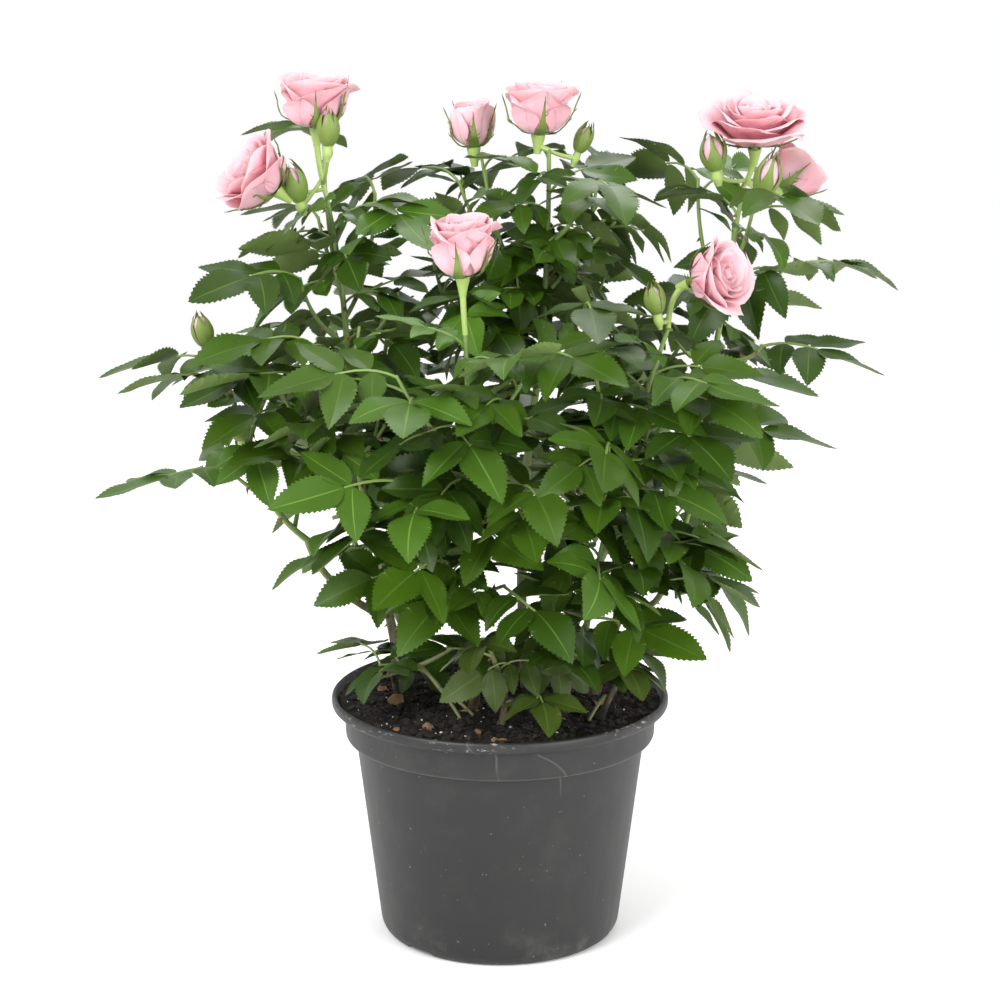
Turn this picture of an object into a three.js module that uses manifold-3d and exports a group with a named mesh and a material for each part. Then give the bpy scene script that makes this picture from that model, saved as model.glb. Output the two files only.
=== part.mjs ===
// A potted patio rose bush in bloom: pot, soil, canes, masses of foliage and flower trusses.
// Millimetres, +Z up. The origin is the middle of the pot's flat underside.
import * as THREE from 'three';
import { mergeVertices } from 'three/addons/utils/BufferGeometryUtils.js';
import Module from 'manifold-3d';

const wasm = await Module();
wasm.setup();

// Driving sizes
const gap = 0.3;                  // between a piece and what carries it
const pot = {
  outside: [                      // radius and height, from the middle of the underside to the rim
    [0, 0], [50, 0], [52.3, 1.4], [53.7, 4.5], [64.4, 90], [64.8, 90.6], [68.3, 90.6], [68.9, 91.4],
    [69.3, 102.8], [70.4, 104], [74.2, 104.6], [75, 105.4], [75, 110],
  ],
  inside: [                       // from the rim to the middle of the floor
    [73, 110], [72.3, 107.4], [71.2, 106.2], [68, 104.4], [67.6, 94], [63.2, 92.2], [63, 88.5],
    [51.2, 3.2], [0, 3.2],
  ],
  segments: 32,
  notches: 3,                     // drainage notches round the foot
  notch: [15, 12, 3.4],           // along the edge, across it, high
  notchRadius: 54,
  firstNotch: THREE.MathUtils.degToRad(226),
};
const soil = {
  profile: [
    [0, 3.6], [50.7, 3.6], [62.4, 88.3], [62.7, 92.8], [67.1, 94.6], [67.5, 104.8], [70.9, 106.75],
    [71.3, 107], [0, 107],
  ],
  level: 107,
  fallX: -0.004,
  riseY: 0,
};
const leaf = {
  spacing: 17.5,                  // along a shoot
  turn: 2.513,                    // from one leaf to the next, two fifths of a turn
  stalk: 24,
  stalkRadius: 0.8,
  rise: [0.75, 0.35, 0.45],       // the stalk's first way: outward, along the shoot, upward
  lean: 0.6,                      // how far the upper face turns outward
  leanFrom: 20,                   // distance from the plant's axis where that is reached
  thick: 1.1,
  dip: 0.12,                      // how far leaflets droop, radians
  root: 3,                        // from the leaflets' meeting point back to the blade's root
  notch: 5,                       // from the meeting point to the clefts between leaflets
  widest: 0.45,                   // of a leaflet's length
  end: [41, 26],                  // length and width of the end leaflet
  side: [32, 21],
  sideAngle: 1.29,
  lowScale: 0.6,                  // on the sprouts near the soil
  sizes: [0.85, 1.1],             // a leaf's own size, droop and sideways tilt lie between these
  droops: [-0.25, 0.55],
  tilts: [-0.45, 0.45],
  sway: 0.3,                      // and its way round the shoot is up to this far from its turn
  upperLoss: 0.25,                // on a flowering shoot, leaves get smaller upward by this share
  underBloom: 5,                  // and keep this far below its tip
  tipDroop: 0.15,                 // the leaf at a plain shoot's tip, full sized, droops this much, radians
  lowestShare: 0.08,              // of a main shoot, bare at its foot where the table says nothing
  foot: 4,                        // and every shoot is bare this far more
};
const clear = {
  mass: -10,                      // a leaf may reach this far over the middle line to the next mass
  blade: 1.8,                     // between leaves of two masses
  twig: 2.6,
  limb: 1.5,
  bloom: 1,
  rimRadius: 80,                  // leaves stay above and outside the pot's rim
  rimTop: 113.5,
  lowest: 96,
};
const sepalFold = 0.9;            // how far a sepal's sides rise above its midrib
const shootRadius = { main: [1.5, 0.9], side: [1.1, 0.7] };

const colours = {
  pot: 0x3b3b3e,
  soil: 0x2a1e17,
  wood: 0x6b5a3c,
  green: 0x7f9a4a,
  foliage: 0x2f6b2c,
  petal: 0xf0a3b6,
};

// Canes: foot on the soil or fork on a parent, tip, how far the middle bows, radius at foot and tip
const canes = [
  { name: 'cane_left', foot: [-47, 40], tip: [-60, 46, 160], bow: [4, -2, 4], radius: [2.5, 1.7] },
  { name: 'arm_left', fork: ['cane_left', 0.45], tip: [-86, 12, 176], bow: [-10, -2, -4],
    radius: [1.9, 1.4] },
  { name: 'cane_left_mid', foot: [-28, 8], tip: [-66, 4, 254], bow: [-14, -4, -18], radius: [2.3, 1.5] },
  { name: 'side_left', fork: ['cane_left_mid', 0.42], tip: [-68, -22, 205], bow: [-2, -12, -12],
    radius: [1.5, 1.2] },
  { name: 'cane_front', foot: [-12, -18], tip: [-13, -38, 148], bow: [5, -6, 0], radius: [2.1, 1.6] },
  { name: 'cane_middle', foot: [12, 12], tip: [16, 14, 244], bow: [-8, 0, 0], radius: [2.4, 1.6] },
  { name: 'cane_right', foot: [42, 5], tip: [90, 2, 240], bow: [-8, 2, -8], radius: [2.6, 1.7] },
  { name: 'side_right', fork: ['cane_right', 0.34], tip: [72, -20, 166], bow: [4, -10, -8],
    radius: [1.6, 1.3] },
  { name: 'cane_right_front', foot: [28, -22], tip: [37, -36, 150], bow: [-6, -4, 0],
    radius: [2.1, 1.6] },
  { name: 'cane_back_right', foot: [30, 38], tip: [50, 62, 160], bow: [-6, -2, 0], radius: [2.2, 1.6] },
  { name: 'cane_back', foot: [-15, 42], tip: [-18, 64, 160], bow: [4, -4, 0], radius: [2.1, 1.6] },
  { name: 'sprout_left', foot: [-46, 4], tip: [-48, -4, 120], bow: [-1, -2, 4], radius: [1.3, 1] },
  { name: 'sprout_front', foot: [0, -44], tip: [2, -50, 126], bow: [2, 0, 2], radius: [1.4, 1.1] },
  { name: 'sprout_right', foot: [44, -30], tip: [52, -36, 126], bow: [0, -2, 3], radius: [1.4, 1.1] },
];

// Masses: the first shoot grows on from the cane's tip, each other leaves shoot `from` at `at` of its length;
// `bare` is the share of a shoot without leaves, `truss` and `bud` what its tip bears
const masses = [
  { name: 'foliage_left_low', cane: 'arm_left', shoots: [
    { tip: [-109, -26, 226], bow: [-5, -8, -4], bud: 1, bare: 0.8 },
    { from: 0, at: 0.3, tip: [-119, 0, 256], bow: [-6, 6, -6], bare: 0.75 },
    { from: 1, at: 0.5, tip: [-100, 22, 246], bow: [-4, 4, -4], bare: 0.4 },
    { from: 0, at: 0.5, tip: [-118, -20, 216], bow: [0, -4, 0], bare: 0.8 },
    { from: 0, at: 0.15, tip: [-76, 30, 224], bow: [-4, 2, 2], bare: 0.3 },
    { from: 1, at: 0.8, tip: [-126, 0, 261], bow: [-2, 0, -3], bud: 1, bare: 1 },
  ] },
  { name: 'foliage_left', cane: 'side_left', shoots: [
    { tip: [-76, -32, 270], bow: [-4, -8, 0] },
    { from: 0, at: 0.25, tip: [-97, -22, 262], bow: [-6, -2, -4] },
    { from: 0, at: 0.2, tip: [-48, -46, 240], bow: [4, -6, -4] },
    { from: 0, at: 0.05, tip: [-48, -56, 198], bow: [0, -6, 2], bare: 0.3 },
    { from: 0, at: 0.5, tip: [-60, -12, 276], bow: [4, 4, -2] },
  ] },
  { name: 'foliage_left_top', cane: 'cane_left_mid', shoots: [
    { tip: [-74, 0, 330], bow: [3, 2, 0], truss: 1 },
    { from: 0, at: 0.15, tip: [-85, -12, 297], bow: [-6, -2, -6], bare: 0.85 },
    { from: 0, at: 0.3, tip: [-54, 14, 330], bow: [6, 2, -8] },
    { from: 0, at: 0.4, tip: [-76, 16, 352], bow: [-4, 2, -6], bare: 0.9 },
    { from: 0, at: 0.1, tip: [-44, 6, 288], bow: [6, 2, -4] },
    { from: 0, at: 0.5, tip: [-80, 30, 318], bow: [-2, 6, -4], bare: 0.8 },
  ] },
  { name: 'foliage_front', cane: 'cane_front', shoots: [
    { tip: [-14, -70, 282], bow: [2, -12, 0], truss: 1, bare: 0.17 },
    { from: 0, at: 0.6, tip: [-42, -74, 266], bow: [-4, -4, -4] },
    { from: 0, at: 0.65, tip: [14, -76, 274], bow: [4, -4, -4] },
    { from: 0, at: 0.42, tip: [-40, -72, 222], bow: [-4, -4, -4] },
    { from: 0, at: 0.38, tip: [8, -76, 220], bow: [4, -6, -4] },
    { from: 0, at: 0.15, tip: [-22, -64, 186], bow: [-4, -4, 0], bare: 0.7 },
    { from: 0, at: 0.12, tip: [2, -66, 176], bow: [2, -4, 2] },
    { from: 0, at: 0.2, tip: [-46, -42, 188], bow: [-4, 0, -2] },
  ] },
  { name: 'foliage_middle_top', cane: 'cane_middle', shoots: [
    { tip: [21, 10, 349], bow: [3, 2, 0], truss: 1 },
    { from: 0, at: 0.2, tip: [-8, 26, 344], bow: [-6, 4, -4], truss: 1 },
    { from: 0, at: 0.4, tip: [42, 18, 332], bow: [6, 2, -8] },
    { from: 1, at: 0.5, tip: [-18, 28, 334], bow: [-4, 2, -6], bare: 0.6 },
    { from: 0, at: 0.15, tip: [46, 24, 292], bow: [6, 2, -6] },
    { from: 0, at: 0.1, tip: [-22, 0, 286], bow: [-6, -2, -4] },
    { from: 0, at: 0.6, tip: [38, -4, 334], bow: [2, -6, -4], bare: 0.8 },
    { from: 0, at: 0.5, tip: [52, 4, 322], bow: [4, 0, -4], bare: 0.5 },
  ] },
  { name: 'foliage_right_front', cane: 'cane_right_front', shoots: [
    { tip: [69, -55, 282], bow: [-8, -12, -4], truss: 1 },
    { from: 0, at: 0.55, tip: [34, -62, 290], bow: [-2, -6, -4] },
    { from: 0, at: 0.42, tip: [44, -84, 240], bow: [-2, -4, -4] },
    { from: 0, at: 0.55, tip: [66, -70, 262], bow: [4, -4, -4] },
    { from: 0, at: 0.15, tip: [40, -70, 188], bow: [0, -4, 0] },
    { from: 0, at: 0.18, tip: [60, -56, 196], bow: [4, -2, -2] },
    { from: 0, at: 0.35, tip: [22, -38, 236], bow: [-4, 0, -4] },
    { from: 0, at: 0.03, tip: [15, -46, 162], bow: [-2, 0, 2] },
    { from: 0, at: 0.02, tip: [38, -52, 158], bow: [2, 0, 2] },
  ] },
  { name: 'foliage_right_top', cane: 'cane_right', shoots: [
    { tip: [104, 3, 334], bow: [0, 2, 0], truss: 1, bare: 0.4 },
    { from: 0, at: 0.45, tip: [86, 20, 336], bow: [-6, 2, -6], bare: 0.6 },
    { from: 0, at: 0.45, tip: [123, 10, 298], bow: [6, 2, -6], bare: 0.4 },
    { from: 0, at: 0.2, tip: [112, -12, 268], bow: [6, 0, -6], bare: 0.8 },
    { from: 0, at: 0.15, tip: [72, 12, 276], bow: [-4, 2, -4], bare: 0.4 },
    { from: 0, at: 0.6, tip: [107, -20, 332], bow: [2, -4, -4], bare: 0.7 },
  ] },
  { name: 'foliage_right_low', cane: 'side_right', shoots: [
    { tip: [87, -28, 232], bow: [2, -6, -4], bare: 0.8 },
    { from: 0, at: 0.15, tip: [66, -50, 186], bow: [2, -4, -2] },
    { from: 0, at: 0.15, tip: [66, 0, 206], bow: [4, 2, -2] },
    { from: 0, at: 0.03, tip: [76, -28, 160], bow: [2, 0, 2] },
    { from: 0, at: 0.1, tip: [70, -40, 178], bow: [2, 0, 0] },
  ] },
  { name: 'foliage_back_left', cane: 'cane_left', shoots: [
    { tip: [-50, 76, 270], bow: [-4, 8, 0] },
    { from: 0, at: 0.4, tip: [-76, 58, 240], bow: [-6, 2, -6] },
    { from: 0, at: 0.4, tip: [-52, 104, 226], bow: [0, 6, -6] },
    { from: 0, at: 0.15, tip: [-62, 64, 206], bow: [-4, 2, -2] },
    { from: 0, at: 0.6, tip: [-74, 46, 264], bow: [-4, 0, -4] },
    { from: 0, at: 0.1, tip: [-46, 88, 180], bow: [0, 4, 0] },
  ] },
  { name: 'foliage_back', cane: 'cane_back', shoots: [
    { tip: [-6, 66, 298], bow: [2, 8, 0] },
    { from: 0, at: 0.4, tip: [-14, 108, 234], bow: [0, 6, -6] },
    { from: 0, at: 0.6, tip: [22, 80, 284], bow: [4, 4, -4] },
    { from: 0, at: 0.3, tip: [16, 94, 210], bow: [4, 4, -4] },
    { from: 0, at: 0.6, tip: [-30, 58, 294], bow: [-4, 0, -4] },
    { from: 0, at: 0.15, tip: [-14, 98, 184], bow: [0, 4, -2] },
  ] },
  { name: 'foliage_back_right', cane: 'cane_back_right', shoots: [
    { tip: [64, 72, 272], bow: [2, 8, 0] },
    { from: 0, at: 0.35, tip: [88, 54, 242], bow: [6, 2, -6] },
    { from: 0, at: 0.4, tip: [54, 108, 226], bow: [0, 6, -6] },
    { from: 0, at: 0.2, tip: [68, 76, 194], bow: [4, 4, -2] },
    { from: 0, at: 0.6, tip: [92, 44, 276], bow: [4, 0, -4] },
    { from: 0, at: 0.15, tip: [36, 92, 190], bow: [-2, 4, -2] },
  ] },
  { name: 'foliage_low_left', cane: 'sprout_left', low: true, shoots: [
    { tip: [-42, -20, 127], bow: [-2, -2, 2] },
  ] },
  { name: 'foliage_low_front', cane: 'sprout_front', low: true, shoots: [
    { tip: [-6, -58, 150], bow: [0, -3, 2] },
    { from: 0, at: 0.1, tip: [18, -58, 146], bow: [2, -2, 2] },
  ] },
  { name: 'foliage_low_right', cane: 'sprout_right', low: true, shoots: [
    { tip: [34, -44, 149], bow: [2, -2, 3] },
    { from: 0, at: 0.1, tip: [46, -52, 142], bow: [0, -2, 3] },
  ] },
];

// Flowers: the kind, the flower's middle, the way it faces, its width and depth
const trusses = [
  { name: 'truss_left', mass: 'foliage_left_top', shoot: 0, flowers: [
    { kind: 'cup', at: [-78, 0, 371], facing: [0, -0.1, 1], width: 33, depth: 22 },
    { kind: 'open', at: [-102, -26, 342], facing: [-0.75, -0.3, 0.6], width: 38, depth: 21 },
    { kind: 'bud', at: [-72, -13, 360], facing: [0.05, -0.1, 1], width: 9, depth: 14 },
    { kind: 'bud', at: [-86, -20, 338], facing: [-0.25, -0.3, 1], width: 10, depth: 16 },
  ] },
  { name: 'truss_middle', mass: 'foliage_middle_top', shoot: 0, flowers: [
    { kind: 'cup', at: [17, 10, 367], facing: [0.05, -0.1, 1], width: 31, depth: 22 },
    { kind: 'bud', at: [36, 18, 353], facing: [0.4, 0, 1], width: 7, depth: 12 },
  ] },
  { name: 'truss_middle_left', mass: 'foliage_middle_top', shoot: 1, flowers: [
    { kind: 'half', at: [-12, 26, 359], facing: [-0.05, -0.1, 1], width: 20, depth: 20 },
  ] },
  { name: 'truss_front', mass: 'foliage_front', shoot: 0, flowers: [
    { kind: 'cup', at: [-15, -75, 319], facing: [0, -0.15, 1], width: 29, depth: 24 },
  ] },
  { name: 'truss_right_front', mass: 'foliage_right_front', shoot: 0, flowers: [
    { kind: 'open', at: [88, -58, 304], facing: [0.75, -0.5, 0.3], width: 33, depth: 20 },
    { kind: 'bud', at: [63, -60, 295], facing: [-0.2, -0.1, 1], width: 8, depth: 12 },
  ] },
  { name: 'truss_right', mass: 'foliage_right_top', shoot: 0, flowers: [
    { kind: 'open', at: [108, -6, 362], facing: [0, -0.25, 1], width: 47, depth: 20 },
    { kind: 'open', at: [127, 15, 339], facing: [0.6, 0.1, 0.6], width: 28, depth: 18 },
    { kind: 'bud', at: [90, -8, 350], facing: [-0.2, -0.1, 1], width: 11, depth: 16 },
    { kind: 'bud', at: [112, -20, 341], facing: [0.25, -0.3, 1], width: 11, depth: 18 },
  ] },
];

// Small tools
const up = new THREE.Vector3(0, 0, 1);
const vec = (p) => new THREE.Vector3(...p);
const mix = THREE.MathUtils.lerp;
const soilTop = (x, y) => soil.level + soil.fallX * x + soil.riseY * y;

// The same numbers in the same order for the same seed, each between low and high
function makeDraw(seed) {
  let state = (seed * 7919) % 2147483647;
  const draw = (low = 0, high = 1) => {
    state = (state * 16807) % 2147483647;
    return low + (high - low) * state / 2147483647;
  };
  draw();
  draw();
  return draw;
}

// A curve that starts at one point, ends at the other and bows from the straight line between
function bowed(start, tip, bow) {
  const middle = start.clone().add(tip).multiplyScalar(0.5).add(bow);
  return new THREE.QuadraticBezierCurve3(start, middle, tip);
}

function solid(geometry) {
  const bare = geometry.clone();
  bare.deleteAttribute('normal');
  bare.deleteAttribute('uv');
  const merged = mergeVertices(bare, 1e-4);
  const mesh = new wasm.Mesh({
    numProp: 3,
    vertProperties: new Float32Array(merged.attributes.position.array),
    triVerts: new Uint32Array(merged.index.array),
  });
  return new wasm.Manifold(mesh);
}

function geometryOf(body) {
  const { vertProperties, triVerts } = body.getMesh();
  const geometry = new THREE.BufferGeometry();
  geometry.setAttribute('position', new THREE.BufferAttribute(new Float32Array(vertProperties), 3));
  geometry.setIndex(new THREE.BufferAttribute(new Uint32Array(triVerts), 1));
  return geometry;
}

// Keeps the largest closed skin of a geometry: loose scraps are dropped and sealed hollows are filled
function largestSkin(geometry) {
  const index = geometry.index.array;
  const head = Array.from({ length: geometry.attributes.position.count }, (_, i) => i);
  const find = (i) => {
    while (head[i] !== i) i = head[i] = head[head[i]];
    return i;
  };
  for (let i = 0; i < index.length; i += 3) {
    head[find(index[i + 1])] = find(index[i]);
    head[find(index[i + 2])] = find(index[i]);
  }
  const [a, b, c] = [new THREE.Vector3(), new THREE.Vector3(), new THREE.Vector3()];
  const place = geometry.attributes.position;
  const volumes = new Map();
  for (let i = 0; i < index.length; i += 3) {
    [a, b, c].forEach((corner, k) => corner.fromBufferAttribute(place, index[i + k]));
    const root = find(index[i]);
    volumes.set(root, (volumes.get(root) ?? 0) + a.dot(b.cross(c)));
  }
  const [largest] = [...volumes].sort((p, q) => q[1] - p[1])[0];
  const kept = [];
  for (let i = 0; i < index.length; i += 3) {
    if (find(index[i]) === largest) kept.push(index[i], index[i + 1], index[i + 2]);
  }
  geometry.setIndex(kept);
  return geometry;
}

const fused = (geometries) => largestSkin(geometryOf(wasm.Manifold.union(geometries.map(solid))));

function piece(name, geometry, colour, roughness) {
  const material = new THREE.MeshStandardMaterial({ color: colour, roughness, metalness: 0 });
  const mesh = new THREE.Mesh(geometry, material);
  mesh.name = name;
  return mesh;
}

// A tapering limb along a curve. Its rings stand square to the curve.
function limbGeometry(curve, radius, sides, steps, facing) {
  const places = [];
  const index = [];
  for (const [i, { centre, across, aside }] of frames(curve, steps, facing).entries()) {
    const r = mix(...radius, i / steps);
    for (let k = 0; k < sides; k++) {
      const angle = k * 2 * Math.PI / sides;
      const point = centre.clone().addScaledVector(across, r * Math.cos(angle));
      point.addScaledVector(aside, r * Math.sin(angle));
      places.push(...point);
      const [here, next] = [i * sides + k, i * sides + (k + 1) % sides];
      if (i < steps) index.push(here, next, here + sides, next, next + sides, here + sides);
    }
  }
  const last = steps * sides;
  for (let k = 1; k < sides - 1; k++) index.push(0, k + 1, k, last, last + k, last + k + 1);
  const geometry = new THREE.BufferGeometry();
  geometry.setAttribute('position', new THREE.Float32BufferAttribute(places, 3));
  geometry.setIndex(index);
  return geometry;
}

// Rings along a curve. The first one can face another way, to lie flat on what carries the limb.
function frames(curve, steps, facing) {
  const rings = [];
  const across = new THREE.Vector3(1, 0, 0);
  for (let i = 0; i <= steps; i++) {
    const along = i === 0 && facing ? facing : curve.getTangent(i / steps);
    across.addScaledVector(along, -across.dot(along)).normalize();
    rings.push({
      centre: curve.getPoint(i / steps),
      along,
      across: across.clone(),
      aside: along.clone().cross(across),
    });
  }
  return rings;
}

// A lathed form along an axis: profile of [radius, height] pairs from the axis to the axis
function turned(profile, sides, base, facing, lobes = 0, wave = 0) {
  const points = profile.map(([r, h]) => new THREE.Vector2(r, h));
  const geometry = new THREE.LatheGeometry(points, sides);
  const place = geometry.attributes.position;
  for (let i = 0; i < place.count; i++) {
    const swell = 1 + wave * Math.cos(lobes * Math.atan2(place.getZ(i), place.getX(i)));
    place.setX(i, place.getX(i) * swell);
    place.setZ(i, place.getZ(i) * swell);
  }
  const spin = new THREE.Quaternion().setFromUnitVectors(new THREE.Vector3(0, 1, 0), facing);
  geometry.applyQuaternion(spin);
  geometry.translate(base.x, base.y, base.z);
  return geometry;
}

// Pot
const lathed = (profile) => new THREE.LatheGeometry(
  profile.map(([r, z]) => new THREE.Vector2(r, z)), pot.segments).rotateX(Math.PI / 2);

function potGeometry() {
  let body = solid(lathed([...pot.outside, ...pot.inside]));
  for (let i = 0; i < pot.notches; i++) {
    const [along, across, high] = pot.notch;
    const cutter = new THREE.BoxGeometry(across, along, high);
    cutter.translate(pot.notchRadius, 0, high / 2 - 1);
    cutter.rotateZ(pot.firstNotch + i * 2 * Math.PI / pot.notches);
    body = body.subtract(solid(cutter));
  }
  return geometryOf(body);
}

// The fill of soil, clear of the pot all round, with its top on a slight slope
function soilGeometry() {
  const geometry = lathed(soil.profile);
  const place = geometry.attributes.position;
  for (let i = 0; i < place.count; i++) {
    if (place.getZ(i) > soil.level - 0.01) place.setZ(i, soilTop(place.getX(i), place.getY(i)));
  }
  return geometry;
}

// What has grown so far
const limbs = {};            // canes by name
const grown = {};            // shoots of each mass
const growth = [];           // every blade and twig
const keepOut = [];          // points on limbs and flowers with the room leaves keep round them

// Canes
function makeCane({ name, foot, fork, tip, bow, radius }) {
  let start;
  if (foot) {
    start = vec([...foot, soilTop(...foot) + gap]);
  } else {
    const parent = limbs[fork[0]];
    start = parent.curve.getPoint(fork[1]);
    const away = vec(tip).sub(start).add(vec(bow)).setZ(0).normalize();
    const along = parent.curve.getTangent(fork[1]);
    const first = vec(tip).sub(start).multiplyScalar(0.5).add(vec(bow)).normalize();
    const reach = mix(...parent.radius, fork[1]) + radius[0] * Math.abs(first.dot(along)) + gap;
    start.addScaledVector(away, reach);
  }
  const curve = bowed(start, vec(tip), vec(bow));
  limbs[name] = { curve, radius };
  const geometry = limbGeometry(curve, radius, 6, fork ? 4 : 5);
  const place = geometry.attributes.position;
  if (foot) {
    for (let i = 0; i < place.count; i++) {
      const x = place.getX(i);
      const y = place.getY(i);
      const atFoot = Math.hypot(x - start.x, y - start.y, place.getZ(i) - start.z) < radius[0] + 0.01;
      if (atFoot) place.setZ(i, soilTop(x, y) + gap);
    }
  }
  return piece(name, geometry, name.startsWith('sprout') ? colours.green : colours.wood, 0.7);
}

// Shoots of every mass
function shootsOf({ cane, shoots }) {
  const grown = [];
  for (const [i, { from, at, tip, bow, truss, bud, bare }] of shoots.entries()) {
    const carrier = limbs[cane].curve;
    const start = i === 0
      ? carrier.getPoint(1).addScaledVector(carrier.getTangent(1), gap)
      : grown[from].curve.getPoint(at);
    const curve = bowed(start, vec(tip), vec(bow));
    const points = curve.getPoints(24);
    const radius = i === 0 ? shootRadius.main : shootRadius.side;
    const facing = i === 0 ? carrier.getTangent(1) : undefined;
    grown.push({ curve, points, radius, facing, truss, bud, bare });
  }
  return grown;
}

// Trusses
const flowerForms = {
  cup: { profile: [[0, -6], [2.6, -5], [3, -1], [12, 4.5], [14.5, 11], [17, 19], [14, 21], [0, 19]],
    width: 34, depth: 21, sepal: [15, 4.5], spread: 0.9 },
  open: { profile: [[0, -6], [2.6, -5], [3, -1], [15, 4], [20, 8], [24, 14], [17, 17], [0, 19]],
    width: 48, depth: 19, sepal: [14, 4.5], spread: 1.95 },
  half: { profile: [[0, -6], [2.6, -5], [3, -1], [9, 6], [9.5, 13], [5, 19.5], [0, 20]],
    width: 19, depth: 20, sepal: [17, 4.5], spread: 0.45 },
  bud: { profile: [[0, -4], [2, -3], [3.6, 0], [4.2, 4], [2.4, 9], [0, 14]],
    width: 8.4, depth: 14 },
};

function flowerPieces({ kind, at, facing, width, depth }) {
  const form = flowerForms[kind];
  const axis = vec(facing).normalize();
  const base = vec(at).addScaledVector(axis, -depth / 2);
  const wide = width / form.width;
  const deep = depth / form.depth;
  const profile = form.profile.map(([r, h]) => [h < 0 ? r : r * wide, h < 0 ? h : h * deep]);
  const bud = kind === 'bud';
  const pieces = [turned(profile, bud ? 5 : 10, base, axis, 5, bud ? 0 : 0.05)];
  if (!bud) {
    const around = frames(new THREE.LineCurve3(base, base.clone().add(axis)), 1)[0];
    for (let i = 0; i < 5; i++) {
      const angle = i * 2 * Math.PI / 5;
      const out = around.across.clone().multiplyScalar(Math.cos(angle));
      out.addScaledVector(around.aside, Math.sin(angle));
      const along = axis.clone().multiplyScalar(Math.cos(form.spread));
      along.addScaledVector(out, Math.sin(form.spread)).normalize();
      pieces.push(sepalGeometry(base, along, axis.clone().cross(out), ...form.sepal));
    }
  }
  return { pieces, base, axis };
}

// A thin sepal of 8 faces: pointed at both ends, widest before its middle, its sides folded up
function sepalGeometry(base, along, side, length, width) {
  const geometry = new THREE.OctahedronGeometry(1);
  const place = geometry.attributes.position;
  const normal = along.clone().cross(side);
  for (let i = 0; i < place.count; i++) {
    const [x, y, z] = [place.getX(i), place.getY(i), place.getZ(i)];
    const u = Math.abs(x) > 0.5 ? (x + 1) / 2 : leaf.widest;
    const point = base.clone().addScaledVector(along, u * length);
    point.addScaledVector(side, y * width / 2);
    point.addScaledVector(normal, z * leaf.thick / 2 + Math.abs(y) * sepalFold);
    place.setXYZ(i, point.x, point.y, point.z);
  }
  return geometry;
}

function keepLimb(curve, radius, room) {
  const steps = Math.ceil(curve.getLength() / 2);
  for (let i = 0; i <= steps; i++) {
    keepOut.push({ point: curve.getPoint(i / steps), room: mix(...radius, i / steps) + room });
  }
}

function makeTruss({ name, mass, shoot, flowers }) {
  const carrier = grown[mass][shoot];
  const along = carrier.curve.getTangent(1);
  const start = carrier.curve.getPoint(1).addScaledVector(along, gap);
  const parts = [];
  let neck = null;
  for (const [i, flower] of flowers.entries()) {
    const { pieces, base, axis } = flowerPieces(flower);
    const sunk = base.clone().addScaledVector(axis, -3);
    const foot = i === 0 ? start : neck.getPoint(0.12 + 0.1 * i);
    const reach = foot.distanceTo(sunk) * 0.5;
    const elbow = sunk.clone().addScaledVector(axis, -reach);
    const stalk = new THREE.QuadraticBezierCurve3(foot, elbow, sunk);
    if (i === 0) neck = stalk;
    const radius = i === 0 ? [1.3, 1.5] : [0.9, 1.1];
    parts.push(limbGeometry(stalk, radius, 4, 3, i === 0 ? along : undefined), ...pieces);
    keepLimb(stalk, radius, clear.limb);
    keepOut.push({ point: vec(flower.at), room: Math.max(flower.width, flower.depth) / 2 + clear.bloom });
  }
  return piece(name, fused(parts), colours.petal, 0.6);
}

// Leaves
function leafStalk(node, along, angle, droop, scale) {
  const e1 = new THREE.Vector3(1, 0, 0).addScaledVector(along, -along.x).normalize();
  const e2 = along.clone().cross(e1);
  const out = e1.multiplyScalar(Math.cos(angle)).addScaledVector(e2, Math.sin(angle));
  const [outward, onward, upward] = leaf.rise;
  const rise = out.multiplyScalar(outward).addScaledVector(along, onward).addScaledVector(up, upward);
  rise.normalize();
  const flat = rise.clone().setZ(0).normalize();
  const fall = flat.multiplyScalar(Math.cos(droop)).addScaledVector(up, -Math.sin(droop)).normalize();
  const half = leaf.stalk * scale / 2;
  const knee = node.clone().addScaledVector(rise, half);
  const end = knee.clone().addScaledVector(fall, half * 1.1);
  return { curve: new THREE.QuadraticBezierCurve3(node, knee, end), fall };
}

function leafParts(node, along, angle, { droop, tilt, scale }) {
  const { curve, fall } = leafStalk(node, along, angle, droop, scale);
  const away = node.clone().setZ(0).divideScalar(Math.max(Math.hypot(node.x, node.y), leaf.leanFrom));
  const want = up.clone().addScaledVector(away, leaf.lean);
  let side = want.clone().cross(fall).normalize();
  const normal = fall.clone().cross(side).addScaledVector(side, Math.tan(tilt)).normalize();
  side = normal.clone().cross(fall);
  const hub = curve.getPoint(1).addScaledVector(fall, leaf.root * scale);
  const leaflets = [[0, leaf.end], [-leaf.sideAngle, leaf.side], [leaf.sideAngle, leaf.side]];
  const blades = leaflets.map(([turn, size]) => {
    const d = fall.clone().multiplyScalar(Math.cos(turn)).addScaledVector(side, Math.sin(turn));
    d.addScaledVector(normal, -Math.sin(leaf.dip)).normalize();
    const n = normal.clone().addScaledVector(d, -normal.dot(d)).normalize();
    const w = n.clone().cross(d);
    const [length, width] = size.map((v) => v * scale);
    const at = (u, v) => hub.clone().addScaledVector(d, u * length).addScaledVector(w, v * width);
    const [right, tip, left] = [at(leaf.widest, -0.5), at(1, 0), at(leaf.widest, 0.5)];
    const rim = [[hub, left], [left, tip], [hub, right], [right, tip], [hub, tip]];
    const corners = [right, tip, left];
    const lines = { rim, dots: dotsAlong(rim, 3), corners, middle: at(0.5, 0) };
    return { base: hub, turn, along: d, side: w, normal: n, length, width, ...lines };
  });
  return { curve, hub, blades, side, normal, scale };
}

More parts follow.
